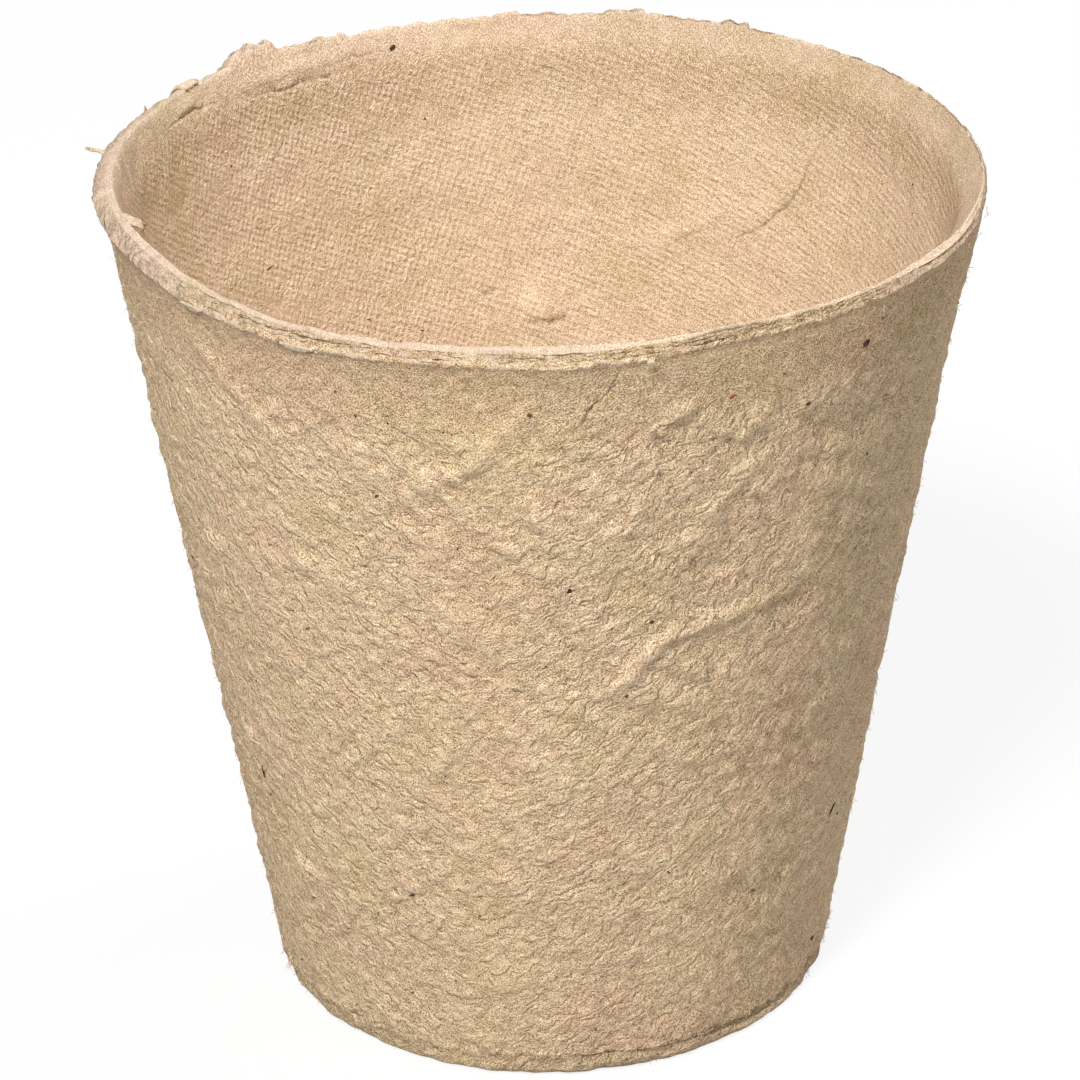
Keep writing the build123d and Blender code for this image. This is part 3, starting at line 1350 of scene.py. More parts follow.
@dataclass
class Ply:
    """One felted ply: a spun section, with relief on the face that shows and a ragged edge at the rim.

    Attributes:
        shape: The pot's section.
        name: Name of the ply and of the solid that it stands for.
        slot: Its material slot; not used.
        finish: Its look.
        outer: Depth of its outer face, in metres.
        inner: Depth of its inner face, in metres.
        shown: The face that shows.
        ragged: How far its edge at the rim strays, in metres.
        bulge: How far the middle of that edge swells, in metres.
        seed: Picks an edge unlike the other plies'.
        columns: How many columns the wall has round the axis.
        sectors: How many equal sectors it is spun in.
        fine_row: Height of a row on the face that shows, in metres.
        coarse_row: Height of a row on a hidden face, in metres.
        lip_zone: How far below the rim's edge its columns are divided, in metres.
        edge_rows: How many rows its cut edge has.
        parting: How far it parts from its neighbours at the rim, in metres.
        bare: How far its cut edge shows bare pulp, from 0 to 1.
        folds: Folds of the face that shows.
        seamed: Whether it ends at the seam above the base.
        spread: How far its edge spreads over the other plies, round the axis.
        drawn: How far its edge draws back, round the axis.
        floor_corner: Radius of the corner between floor and wall inside the pot, in metres.

    A zone is how far below the rim's edge something starts, and how far below it that is full. The seam's
    and the cracks' zones are how far from these the shell is divided, and a hair's breadth is what counts
    as no gap.
    """

    shape: PotShape
    name: str
    slot: str
    finish: PulpFinish
    outer: float
    inner: float
    shown: Face
    ragged: float
    bulge: float
    seed: int
    columns: int = 448
    sectors: int = 14
    fine_row: float = 0.52 * MM
    coarse_row: float = 9.0 * MM
    lip_zone: float = 2.6 * MM
    edge_rows: int = 4
    parting: float = 0.045 * MM
    bare: float = 1.0
    folds: tuple[Fold, ...] = ()
    seamed: bool = False
    spread: Spots = ((0.0, 0.0),)
    drawn: Spots = ((0.0, 0.0),)
    floor_corner: float = 0.3 * MM

    EDGE_ZONE = (2.2 * MM, 0.0)
    TIP_ZONE = (0.05 * MM, 0.0)
    TAB_ZONE = (1.6 * MM, 0.0)
    SPREAD_ZONE = (0.9 * MM, 0.0)
    PINCH_ZONE = (3.0 * MM, 0.0)
    CUT_ZONE = (0.6 * MM, 0.1 * MM)
    PRESSED_ZONE = (3.4 * MM, 1.2 * MM)
    UNDER_LIP_ZONE = (10.0 * MM, 4.0 * MM)
    SEAM_ZONE = 0.8 * MM
    CRACK_ZONES = (0.8 * MM, 0.4 * MM)
    PINCH_DEPTH = 0.7 * MM
    EDGE_GRAIN = 0.05 * MM
    FRAY_GRAIN = 0.09
    FULL_RELIEF = 0.35 * MM
    # Painted shade below the lip's overhang, on the outside and on the inside.
    UNDER_LIP_SHADE = 2.2
    BROWN_SHADE = 3.0
    PRESSED_PALE = 0.45
    HAIR = 0.01 * MM
    SHARED_SEED = 20

    @property
    def shown_depth(self) -> float:
        """Depth of the face that shows."""
        return self.inner if self.shown is Face.INSIDE else self.outer

    def wall_rows(self, face: Face) -> int:
        """How many rows the wall has on one of the ply's faces."""
        return round(self.shape.wall_length / (self.fine_row if self.shown is face else self.coarse_row))

    def lip_rows(self, face: Face) -> int:
        """How many rows the lip has on one of the ply's faces."""
        return 8 if self.shown is face else HIDDEN_ROWS

    def floor_rows(self, face: Face) -> int:
        """How many rows the floor has on one of the ply's faces."""
        return 14 if self.shown is face else HIDDEN_ROWS

    def corner_rows(self, face: Face) -> int:
        """How many rows the corner between floor and wall has on one of the ply's faces."""
        return {Face.OUTSIDE: 6, Face.INSIDE: 3}[face] if self.shown is face else HIDDEN_ROWS

    def foot(self, depth: float) -> tuple[float, float]:
        """Radius and height of the sharp corner between floor and wall on a face."""
        taper = self.shape.taper
        return self.shape.place(depth, depth * (1.0 - math.sin(taper)) / math.cos(taper))

    def corner_radius(self, depth: float) -> float:
        """Radius of the rounded corner between floor and wall on a face."""
        return self.floor_corner + self.shape.wall - depth

    def corner(self, depth: float) -> float:
        """How far the rounded corner of a face reaches over the floor from its sharp corner."""
        return self.corner_radius(depth) * math.tan((math.pi / 2 - self.shape.taper) / 2)

    def corner_top(self, depth: float) -> tuple[float, float]:
        """Radius and height of the upper end of a face's rounded corner."""
        (radius, height), reach, taper = self.foot(depth), self.corner(depth), self.shape.taper
        return radius + reach * math.sin(taper), height + reach * math.cos(taper)

    def turn_corner(self, pen: SectionPen, face: Face) -> None:
        """Draws a rounded corner: up to the wall on the outer face, down to the floor on the inner one.

        Args:
            pen: The pen, at the start of the corner.
            face: The face.
        """
        depth = self.outer if face is Face.OUTSIDE else self.inner
        centre = (self.foot(depth)[0] - self.corner(depth), depth + self.corner_radius(depth))
        turn = math.pi / 2 - self.shape.taper
        pen.arc(centre, -turn if face is Face.OUTSIDE else turn, self.corner_rows(face))

    def draw_lip(self, pen: SectionPen) -> None:
        """Draws the lip, from the outer face over the cut edge to the inner face.

        Args:
            pen: The pen, at the top of the outer face's straight wall.
        """
        shape = self.shape
        lip_angle = shape.lip_lean - shape.taper
        pen.arc(shape.bend, lip_angle, self.lip_rows(Face.OUTSIDE))
        pen.line(*shape.place(self.inner, shape.length), self.edge_rows)
        pen.arc(shape.bend, -lip_angle, self.lip_rows(Face.INSIDE))

    def draw(self, pen_mesh: bmesh.types.BMesh) -> None:
        """Draws the ply's section: a cup's, from the axis over the outer face and back.

        Args:
            pen_mesh: The mesh to draw in.
        """
        pen = SectionPen(pen_mesh, 0.0, self.outer)
        corner_start = self.foot(self.outer)[0] - self.corner(self.outer)
        pen.line(corner_start, self.outer, self.floor_rows(Face.OUTSIDE))
        self.turn_corner(pen, Face.OUTSIDE)
        pen.line(*self.shape.place(self.outer, self.shape.wall_length), self.wall_rows(Face.OUTSIDE))
        self.draw_lip(pen)
        pen.line(*self.corner_top(self.inner), self.wall_rows(Face.INSIDE))
        self.turn_corner(pen, Face.INSIDE)
        pen.line(0.0, self.inner, self.floor_rows(Face.INSIDE))

    def spun(self) -> bpy.types.Mesh:
        """The ply's smooth shell, with finer columns at the lip and along the folds.

        Returns:
            The mesh.
        """
        shell = bmesh.new()
        self.draw(shell)
        sector = 2.0 * math.pi / self.sectors
        axis = {"cent": (0, 0, 0), "axis": (0, 0, 1)}
        section = shell.verts[:] + shell.edges[:]
        bmesh.ops.spin(shell, geom=section, angle=sector, steps=self.columns // self.sectors, **axis)
        wedge = shell.verts[:] + shell.edges[:] + shell.faces[:]
        rest = 2.0 * math.pi - sector
        bmesh.ops.spin(shell, geom=wedge, angle=rest, steps=self.sectors - 1, use_duplicate=True, **axis)
        bmesh.ops.remove_doubles(shell, verts=shell.verts[:], dist=0.2 * self.HAIR)
        bmesh.ops.recalc_face_normals(shell, faces=shell.faces[:])
        self.refine(shell)
        return meshed(shell, self.name)

    def refine(self, shell: bmesh.types.BMesh) -> None:
        """Divides the shell more finely at the lip and the seam, and along its cracks.

        Args:
            shell: The ply's spun shell.
        """
        self.divide(shell, self.by_edge)
        for spare in self.CRACK_ZONES:
            self.divide(shell, lambda skin: self.by_crack(skin, spare))
        self.sharpen(shell)

    def sharpen(self, shell: bmesh.types.BMesh) -> None:
        """Marks the edges sharp at which the ply meets its neighbours, so that closed joints don't show.

        Args:
            shell: The ply's spun shell.
        """
        skin = Skin(self.shape, np.array([vert.co[:] for vert in shell.verts]))
        least, most = self.HAIR, self.shape.wall - self.HAIR
        hidden = [depth for depth in (self.outer, self.inner) if least < depth < most]
        at_corner = np.any([np.abs(skin.depth - depth) < self.HAIR for depth in hidden], axis=0)
        at_rim = at_corner & (np.abs(skin.along - self.shape.length) < self.HAIR)
        at_seam = np.hypot(skin.depth, skin.along - self.shape.seam_along) < self.HAIR
        shell.verts.index_update()
        for edge in shell.edges:
            ends = [vert.index for vert in edge.verts]
            edge.smooth = not (at_rim[ends].all() or (self.seamed and at_seam[ends].all()))

    def divide(self, shell: bmesh.types.BMesh, chosen: Callable[[Skin], np.ndarray]) -> None:
        """Divides the edges in a part of the shell in two.

        Args:
            shell: The ply's spun shell.
            chosen: Says which places are in that part.
        """
        near = chosen(Skin(self.shape, np.array([vert.co[:] for vert in shell.verts]))).tolist()
        shell.verts.index_update()
        fine = [edge for edge in shell.edges if near[edge.verts[0].index] and near[edge.verts[1].index]]
        bmesh.ops.subdivide_edges(shell, edges=fine, cuts=1, use_grid_fill=True)

    def by_edge(self, skin: Skin) -> np.ndarray:
        """Which places are by the ply's cut edge, or by its seam."""
        by_seam = np.abs(skin.along - self.shape.seam_along) < self.SEAM_ZONE
        return (skin.along > self.shape.length - self.lip_zone) | (by_seam & self.seamed)

    def by_crack(self, skin: Skin, spare: float) -> np.ndarray:
        """Which places of the shown face lie in or near a crack.

        Args:
            skin: Places on the ply.
            spare: How far from a crack they may lie, in metres.

        Returns:
            True or false for each place.
        """
        near = np.zeros(len(skin.points), bool)
        for fold in self.folds:
            if fold.sharp:
                near |= fold.distance(skin)[0] < fold.width * MM + spare
        return near & (np.abs(skin.depth - self.shown_depth) < 2.0 * self.HAIR)

    def facing(self, skin: Skin, normals: np.ndarray) -> np.ndarray:
        """Unit vectors that the relief stands out along."""
        return normals

    def seam_shift(self, skin: Skin) -> np.ndarray:
        """How far the seam's wavering shifts places up along the wall, in metres."""
        return np.zeros(len(skin.points))

    def relief(self, skin: Skin) -> tuple[np.ndarray, np.ndarray]:
        """Relief and painted crack shade of the ply's faces: none, on a ply that shows only its edge."""
        return np.zeros(len(skin.points)), np.zeros(len(skin.points))

    def across(self, skin: Skin) -> np.ndarray:
        """Where places are in the ply, from 0 at its outer face to 1 at its inner one."""
        return np.clip((skin.depth - self.outer) / (self.inner - self.outer), 0.0, 1.0)

    def slide(self, skin: Skin, parted: np.ndarray) -> np.ndarray:
        """How far places slide up along the wall, at the rim's ragged edge and at the seam.

        Args:
            skin: Places on the ply.
            parted: How far the plies part at the places.

        Returns:
            The slides, in metres.
        """
        edge, apart = skin.near_rim(*self.EDGE_ZONE), RimLine.apart(skin)
        through = np.clip(skin.depth / self.shape.wall, 0.0, 1.0)
        swell = eased(skin, RimLine.CROWN) * arched(through)
        swell += self.bulge * arched(self.across(skin)) * parted
        rough = noise_at(skin.points, 0.6 * MM, 111) + noise_at(skin.points, 1.5 * MM, 112)
        own, shared = (RimLine.ragged(skin, self.ragged, seed) for seed in (self.seed, self.SHARED_SEED))
        fray = eased(skin, RimLine.FRAY)
        moved = (own * apart + shared * (1.0 - apart)) * edge * fray / MM
        swell += (self.EDGE_GRAIN + self.FRAY_GRAIN * fray) * rough
        moved += swell * skin.near_rim(*self.TIP_ZONE)
        moved += RimLine.tabs(skin) * skin.near_rim(*self.TAB_ZONE)
        moved -= (eased(skin, RimLine.SLANT) * (1.0 - through) + eased(skin, self.drawn)) * edge
        return moved + self.seam_shift(skin)

    def push(self, skin: Skin, parted: np.ndarray) -> np.ndarray:
        """How far places move out of the wall at the rim, where its plies part, spread and are pinched.

        Args:
            skin: Places on the ply.
            parted: How far the plies part at the places.

        Returns:
            The moves, in metres.
        """
        across = self.across(skin)
        parting = self.parting * parted * skin.near_rim(*self.EDGE_ZONE) * (1.0 - 2.0 * across)
        spread = eased(skin, self.spread) * (1.0 - across) * skin.near_rim(*self.SPREAD_ZONE)
        pinch = eased(skin, RimLine.PINCH) / MM * skin.near_rim(*self.PINCH_ZONE)
        return spread - parting + pinch * (skin.depth - self.PINCH_DEPTH)

    def marks(self, skin: Skin, height: np.ndarray, stain_and_shade: np.ndarray) -> dict[Mark, np.ndarray]:
        """What the finish reads at places.

        Args:
            skin: Places on the ply.
            height: How far they stand proud, in metres.
            stain_and_shade: How much painted shade they have.

        Returns:
            Numbers for the places, by mark.
        """
        cut_edge, pressed = skin.near_rim(*self.CUT_ZONE), skin.near_rim(*self.PRESSED_ZONE)
        under_lip = skin.near_rim(*self.UNDER_LIP_ZONE) * (1.0 - cut_edge)
        mottle = smooth_step(noise_at(skin.points, 0.55 * MM, self.seed + 13), -0.4, 0.2)
        bare = self.bare * RimLine.apart(skin) * mottle
        pale = cut_edge * (1.0 - bare) * eased(skin, RimLine.PALE) / MM
        brown = eased(skin, RimLine.BROWN) / MM * cut_edge * mottle * (self.bare > 0.0)
        inside = skin.depth > 0.9 * self.shape.wall
        # under_lip is painted shade below the lip's overhang; brown is the cut edges' own colour.
        shaded = self.UNDER_LIP_SHADE * under_lip + self.BROWN_SHADE * brown
        return {
            # Paler where the face stands proud and darker in its hollows: painted highlight and painted
            # shade.
            Mark.PAINTED_LIGHT_AND_BROWN: height / self.FULL_RELIEF - shaded,
            # Painted shade in cracks, pits and along dents.
            Mark.CRACK: stain_and_shade,
            Mark.LIP: np.maximum(pale, self.PRESSED_PALE * pressed * inside),
            Mark.WORN: pressed if self.shown is Face.INSIDE else under_lip,
        }

    def mould(self, mesh: bpy.types.Mesh) -> None:
        """Moves the shell's vertices to give it its relief and its edge, and marks them.

        Args:
            mesh: The ply's smooth shell.
        """
        skin = Skin(self.shape, vectors_of(mesh, "co"))
        height, stain_and_shade = self.relief(skin)
        parted = RimLine.parted(skin, self.seed + 7)
        points = skin.points + self.facing(skin, vectors_of(mesh, "normal")) * height[:, None]
        points += skin.rising * self.slide(skin, parted)[:, None]
        points += skin.outward * self.push(skin, parted)[:, None] + RimLine.sway(skin)
        mesh.vertices.foreach_set("co", points.astype(np.float32).ravel())
        for mark, numbers in self.marks(skin, height, stain_and_shade).items():
            attribute = mesh.attributes.new(mark.value, "FLOAT", "POINT")
            attribute.data.foreach_set("value", numbers.astype(np.float32))
        mesh.update()

    def unroll(self, mesh: bpy.types.Mesh) -> None:
        """Maps the ply's wall as its cone unrolls, and its floor as it is seen from above, in millimetres.

        Args:
            mesh: The ply's smooth shell.
        """
        skin = Skin(self.shape, vectors_of(mesh, "co"))
        corners = np.empty(len(mesh.loops), np.int32)
        mesh.loops.foreach_get("vertex_index", corners)
        sizes = np.empty(len(mesh.polygons), np.int32)
        mesh.polygons.foreach_get("loop_total", sizes)
        faces = np.repeat(np.arange(len(sizes)), sizes)
        sums = np.zeros((len(sizes), 3))
        np.add.at(sums, faces, skin.points[corners])
        centres = Skin(self.shape, sums / sizes[:, None])
        seam = 90.0 if self.shown is Face.OUTSIDE else 270.0
        middle = np.radians((centres.azimuth - seam) % 360.0 - 180.0)[faces]
        own = np.radians(skin.azimuth[corners] - seam - 180.0)
        own = middle + (own - middle + math.pi) % (2.0 * math.pi) - math.pi
        spread = math.sin(self.shape.taper)
        past_edge = np.where(skin.along > 0.5 * self.shape.length, 1.0, -1.0)
        reach = skin.along + past_edge * np.abs(skin.depth - self.shown_depth)
        slant = self.shape.base_radius / spread + reach[corners]
        wall = np.column_stack([slant * np.sin(own * spread), slant * np.cos(own * spread)])
        on_floor = (centres.depth > self.shown_depth + 0.5 * MM) & (centres.points[:, 2] < 3.0 * MM)
        spots = np.where(on_floor[faces, None], skin.points[corners, :2], wall) / MM
        layer = mesh.uv_layers.new(name=Mark.SKIN.value)
        layer.data.foreach_set("uv", spots.astype(np.float32).ravel())

    def build(self) -> bpy.types.Object:
        """Builds and dresses the ply.

        Returns:
            The piece.
        """
        mesh = self.spun()
        self.unroll(mesh)
        self.mould(mesh)
        return add_piece(f"{self.name}_pulp", mesh, self.finish.material(), self.name)


@dataclass
class InnerPly(Ply):
    """The ply that lay on the forming screen. Its inside shows."""

    bare: float = 0.0
    fine_row: float = 0.58 * MM
    folds: tuple[Fold, ...] = InsideRelief.FOLDS
    spread: Spots = RimLine.SPREAD

    def relief(self, skin: Skin) -> tuple[np.ndarray, np.ndarray]:
        """Relief and painted crack shade, on the inside face alone.

        Args:
            skin: Places on the ply.

        Returns:
            How far each place stands proud, in metres, and how much painted shade it has.
        """
        height, stain_and_shade = InsideRelief().heights(skin)
        shown = smooth_step(skin.depth, self.inner - 0.2 * MM, self.inner - 0.02 * MM)
        return height * shown, stain_and_shade * shown


@dataclass
class OuterPly(Ply):
    """The fuzzy outside of the wall, from the seam above the base to the rim."""

    folds: tuple[Fold, ...] = OutsideRelief.FOLDS
    seamed: bool = True

    def facing(self, skin: Skin, normals: np.ndarray) -> np.ndarray:
        """Unit vectors out of the wall, also at the seam's edge."""
        return skin.outward

    def seam_shift(self, skin: Skin) -> np.ndarray:
        """How far the seam's wavering and its crack shift places up along the wall, in metres."""
        return SeamLine.shift(skin) + SeamLine.crack(skin)

    def draw(self, pen_mesh: bmesh.types.BMesh) -> None:
        """Draws the ply's section, a closed strip above the seam.

        Args:
            pen_mesh: The mesh to draw in.
        """
        shape = self.shape
        pen = SectionPen(pen_mesh, *shape.place(self.outer, shape.seam_along))
        pen.line(*shape.place(self.outer, shape.wall_length), self.wall_rows(Face.OUTSIDE))
        self.draw_lip(pen)
        pen.line(*shape.place(self.inner, shape.seam_along), self.wall_rows(Face.INSIDE))
        pen.close(HIDDEN_ROWS)

    def relief(self, skin: Skin) -> tuple[np.ndarray, np.ndarray]:
        """Relief and painted crack shade, on the outside face and round the seam's crack.

        Args:
            skin: Places on the ply.

        Returns:
            How far each place stands proud, in metres, and how much painted shade it has.
        """
        height, stain_and_shade = OutsideRelief().heights(skin)
        shown = smooth_step(skin.depth, self.outer + 0.2 * MM, self.outer + 0.02 * MM)
        crack = SeamLine.crack(skin)
        # Painted shade in the seam's open crack.
        stain_and_shade = np.maximum(stain_and_shade * shown, np.minimum(crack / (0.2 * MM), 0.6))
        return height * shown + 0.4 * crack, stain_and_shade


@dataclass
class BasePly(Ply):
    """The outermost layer of the base, a shallow dish below the seam. The pot stands on it.

    Attributes:
        outside_corner: Radius of the corner between base and wall outside, in metres.
        base_rows: How many rows the base has from the axis to that corner.
        strip_rows: How many rows the strip below the seam has.
    """

    outside_corner: float = 0.9 * MM
    base_rows: int = 40
    strip_rows: int = 4
    seamed: bool = True

    def facing(self, skin: Skin, normals: np.ndarray) -> np.ndarray:
        """Vectors out of the wall near the seam, and level ones below it."""
        upper = smooth_step(skin.along, 1.0 * MM, 1.6 * MM)[:, None]
        return skin.outward * np.array([1.0, 1.0, 0.0]) * (1.0 - upper) + skin.outward * upper

    def seam_shift(self, skin: Skin) -> np.ndarray:
        """How far the seam's wavering shifts places up along the wall, in metres."""
        return SeamLine.shift(skin)

    def corner_radius(self, depth: float) -> float:
        """Radius of the corner between base and wall on a face."""
        return self.outside_corner if depth == self.outer else super().corner_radius(depth)

    def draw(self, pen_mesh: bmesh.types.BMesh) -> None:
        """Draws the ply's section: a dish's, from the axis over the outer face and back.

        Args:
            pen_mesh: The mesh to draw in.
        """
        shape = self.shape
        pen = SectionPen(pen_mesh, 0.0, self.outer)
        pen.line(self.foot(self.outer)[0] - self.corner(self.outer), self.outer, self.base_rows)
        self.turn_corner(pen, Face.OUTSIDE)
        pen.line(*shape.place(self.outer, shape.seam_along), self.strip_rows)
        pen.line(*shape.place(self.inner, shape.seam_along), HIDDEN_ROWS)
        pen.line(*self.corner_top(self.inner), HIDDEN_ROWS)
        self.turn_corner(pen, Face.INSIDE)
        pen.line(0.0, self.inner, HIDDEN_ROWS + 1)

    def relief(self, skin: Skin) -> tuple[np.ndarray, np.ndarray]:
        """Relief and painted crack shade, on the outside face alone, and none where the pot rests.

        Args:
            skin: Places on the ply.

        Returns:
            How far each place stands proud, in metres, and how much painted shade it has.
        """
        height, stain_and_shade = OutsideRelief().heights(skin)
        dented = noise_at(skin.points, 2.6 * MM, 61) + 0.7 * noise_at(skin.points, 1.1 * MM, 62) - 0.3
        corner = smooth_step(skin.along, 2.0 * MM, 1.0 * MM)
        radius = np.hypot(skin.points[:, 0], skin.points[:, 1])
        outside = smooth_step(radius, self.shape.base_radius - 1.6 * MM, self.shape.base_radius - 0.8 * MM)
        outside *= smooth_step(np.minimum(skin.depth, skin.points[:, 2]), 0.45 * MM, 0.3 * MM)
        return (height * (1.0 - corner) + 0.24 * MM * dented * corner) * outside, stain_and_shade * outside


@dataclass(frozen=True)
class Flap:
    """A torn bit of a ply that still hangs on at the rim.

    Attributes:
        azimuth: Where it hangs on, in degrees.
        radius: Distance of its root from the axis, in millimetres.
        height: Height of its root, in millimetres.
        width: Its width, in millimetres.
        reach: Its length, in millimetres.
        rise: Angle from level at which it leaves the rim towards the axis, in degrees.
        curl: How far it turns over along its length, in degrees.
        narrowing: How much narrower its end is, from 0 to 1.
    """

    azimuth: float
    radius: float
    height: float
    width: float
    reach: float
    rise: float
    curl: float
    narrowing: float = 0.3

    def bend(self, sheet: Sequence[bmesh.types.BMVert]) -> None:
        """Bends a flat square, two units wide, into the flap.

        Args:
            sheet: The square's vertices.
        """
        turn = math.radians(self.azimuth)
        inward = Vector((-math.cos(turn), -math.sin(turn), 0.0))
        sideways = Vector((-math.sin(turn), math.cos(turn), 0.0))
        root = Vector((0.0, 0.0, self.height)) - inward * self.radius
        for vert in sheet:
            side, share = vert.co.x, (vert.co.y + 1.0) / 2.0
            spot = Vector((side * 2.0 + self.azimuth, share * 2.0, 0.0))
            frayed = 0.85 + 0.4 * noise.noise(Vector((spot.x * 1.7, 3.0, 0.0)))
            run = self.reach * share * frayed
            angle = math.radians(self.rise - 0.5 * self.curl * share)
            wavy = 1.0 + 0.2 * noise.noise(Vector((share * 4.0, self.azimuth, 0.0)))
            narrowed = side * self.width / 2.0 * (1.0 - self.narrowing * share) * wavy
            lifted = 0.1 * share * noise.noise(spot * 0.8)
            place = root + sideways * narrowed + inward * (run * math.cos(angle))
            vert.co = (place + Vector((0.0, 0.0, run * math.sin(angle) + lifted))) * MM


@dataclass
class TornFlaps:
    """Torn bits that hang on at the rim.

    Attributes:
        flaps: The bits.
        thickness: Their thickness, in metres.
        divisions: How many rows and columns each is divided into.
    """

    flaps: tuple[Flap, ...] = (
        Flap(198.0, 37.0, 76.5, 3.0, 2.5, 10.0, 60.0),
        Flap(148.0, 37.6, 75.5, 3.4, 1.7, 110.0, 160.0),
        Flap(157.0, 37.7, 75.5, 0.9, 0.6, 100.0, 0.0, 0.8),
        Flap(171.5, 37.9, 75.4, 0.7, 1.8, 140.0, -50.0, 0.95),
        Flap(282.5, 38.2, 74.9, 0.6, 0.6, -65.0, 10.0),
        Flap(222.0, 38.1, 75.0, 2.6, 0.5, -66.0, 0.0, 0.6),
        Flap(239.0, 38.1, 74.6, 3.4, 0.45, -66.0, 0.0, 0.6),
    )
    thickness: float = 0.25 * MM
    divisions: int = 12

    def build(self) -> bpy.types.Object:
        """Builds and dresses the flaps.

        Returns:
            The piece.
        """
        shell = bmesh.new()
        for flap in self.flaps:
            cuts = {"x_segments": self.divisions, "y_segments": self.divisions}
            flap.bend(bmesh.ops.create_grid(shell, size=1.0, **cuts)["verts"])
        bmesh.ops.recalc_face_normals(shell, faces=shell.faces[:])
        bottom = bmesh.ops.extrude_face_region(shell, geom=shell.faces[:])
        lower = [part for part in bottom["geom"] if isinstance(part, bmesh.types.BMVert)]
        bmesh.ops.translate(shell, verts=lower, vec=(0.0, 0.0, -self.thickness))
        bmesh.ops.recalc_face_normals(shell, faces=shell.faces[:])
        mesh = meshed(shell, "torn_flaps")
        return add_piece("torn_flaps", mesh, TORN_PULP.material())


@dataclass
class LooseFibres:
    """Loose fibres that lie on the outside of the wall, each with an end that stands off it.

    Attributes:
        shape: The pot's section.
        count: How many there are.
        low_share: What part of them is at the bottom corner.
        steps: How many straight runs each is made of.
        lengths: Their least and greatest length, in millimetres.
        curl: How far they turn along their length, in radians.
        usual_lift: How far their ends usually stand off, in millimetres.
        most_lift: How far their ends stand off at most, in millimetres.
        usual_radius: Usual radius of the wall, in metres.
        thickness: Their thickness, in metres.
        seed: Picks one of many unlike scatters.
    """

    shape: PotShape
    count: int = 5200
    low_share: float = 0.15
    steps: int = 4
    lengths: tuple[float, float] = (0.25, 1.0)
    curl: float = 1.4
    usual_lift: float = 0.18
    most_lift: float = 0.4
    usual_radius: float = 30.0 * MM
    thickness: float = 0.045 * MM
    seed: int = 5

    def routes(self) -> np.ndarray:
        """Routes of the fibres.

        Returns:
            Points in space, by fibre and by step.
        """
        draw = np.random.default_rng(self.seed)
        share = np.linspace(0.0, 1.0, self.steps + 1)
        length = draw.uniform(*self.lengths, self.count)[:, None] * MM
        heading = draw.uniform(0.0, 2.0 * math.pi, self.count)[:, None]
        heading = heading + draw.normal(0.0, self.curl, self.count)[:, None] * share
        across = np.cumsum(np.cos(heading), axis=1) * length / self.steps
        along = np.cumsum(np.sin(heading), axis=1) * length / self.steps
        top = np.where(draw.random(self.count) < self.low_share, 3.0 * MM, self.shape.length - 1.0 * MM)
        along += draw.uniform(0.5 * MM, top)[:, None]
        azimuth = draw.uniform(0.0, 360.0, self.count)[:, None] + np.degrees(across / self.usual_radius)
        end_lift = np.minimum(draw.exponential(self.usual_lift, self.count), self.most_lift)[:, None] * MM
        lift = end_lift * share**2 + 0.4 * self.thickness
        along = np.clip(along, 0.3 * MM, self.shape.length - 0.3 * MM)
        skin = Skin.at(self.shape, azimuth.ravel(), along.ravel(), np.zeros(along.size))
        height = OutsideRelief().heights(skin)[0] + lift.ravel()
        points = skin.points + skin.outward * height[:, None] + RimLine.sway(skin)
        return points.reshape(self.count, self.steps + 1, 3)

    def build(self) -> bpy.types.Object:
        """Builds and dresses the fibres.

        Returns:
            The piece.
        """
        strands = bpy.data.curves.new("loose_fibres", "CURVE")
        strands.dimensions = "3D"
        strands.bevel_depth = self.thickness / 2.0
        strands.bevel_resolution = 0
        strands.use_fill_caps = True
        for route in self.routes():
            strand = strands.splines.new("POLY")
            strand.points.add(len(route) - 1)
            spots = np.column_stack([route, np.ones(len(route))])
            strand.points.foreach_set("co", spots.astype(np.float32).ravel())
        holder = bpy.data.objects.new("loose_fibres_route", strands)
        mesh = bpy.data.meshes.new_from_object(holder)
        bpy.data.objects.remove(holder)
        bpy.data.curves.remove(strands)
        return add_piece("loose_fibres", mesh, FIBRE.material())


@dataclass(frozen=True)
class Fleck:
    """A speck in the pulp.

    Attributes:
        azimuth: Where it lies, in degrees.
        height: How high it lies, in millimetres.
        length: Its length, in millimetres.
        width: Its width, in millimetres.
        tilt: Its turn on the face, in degrees.
    """

    azimuth: float
    height: float
    length: float
    width: float
    tilt: float = 0.0


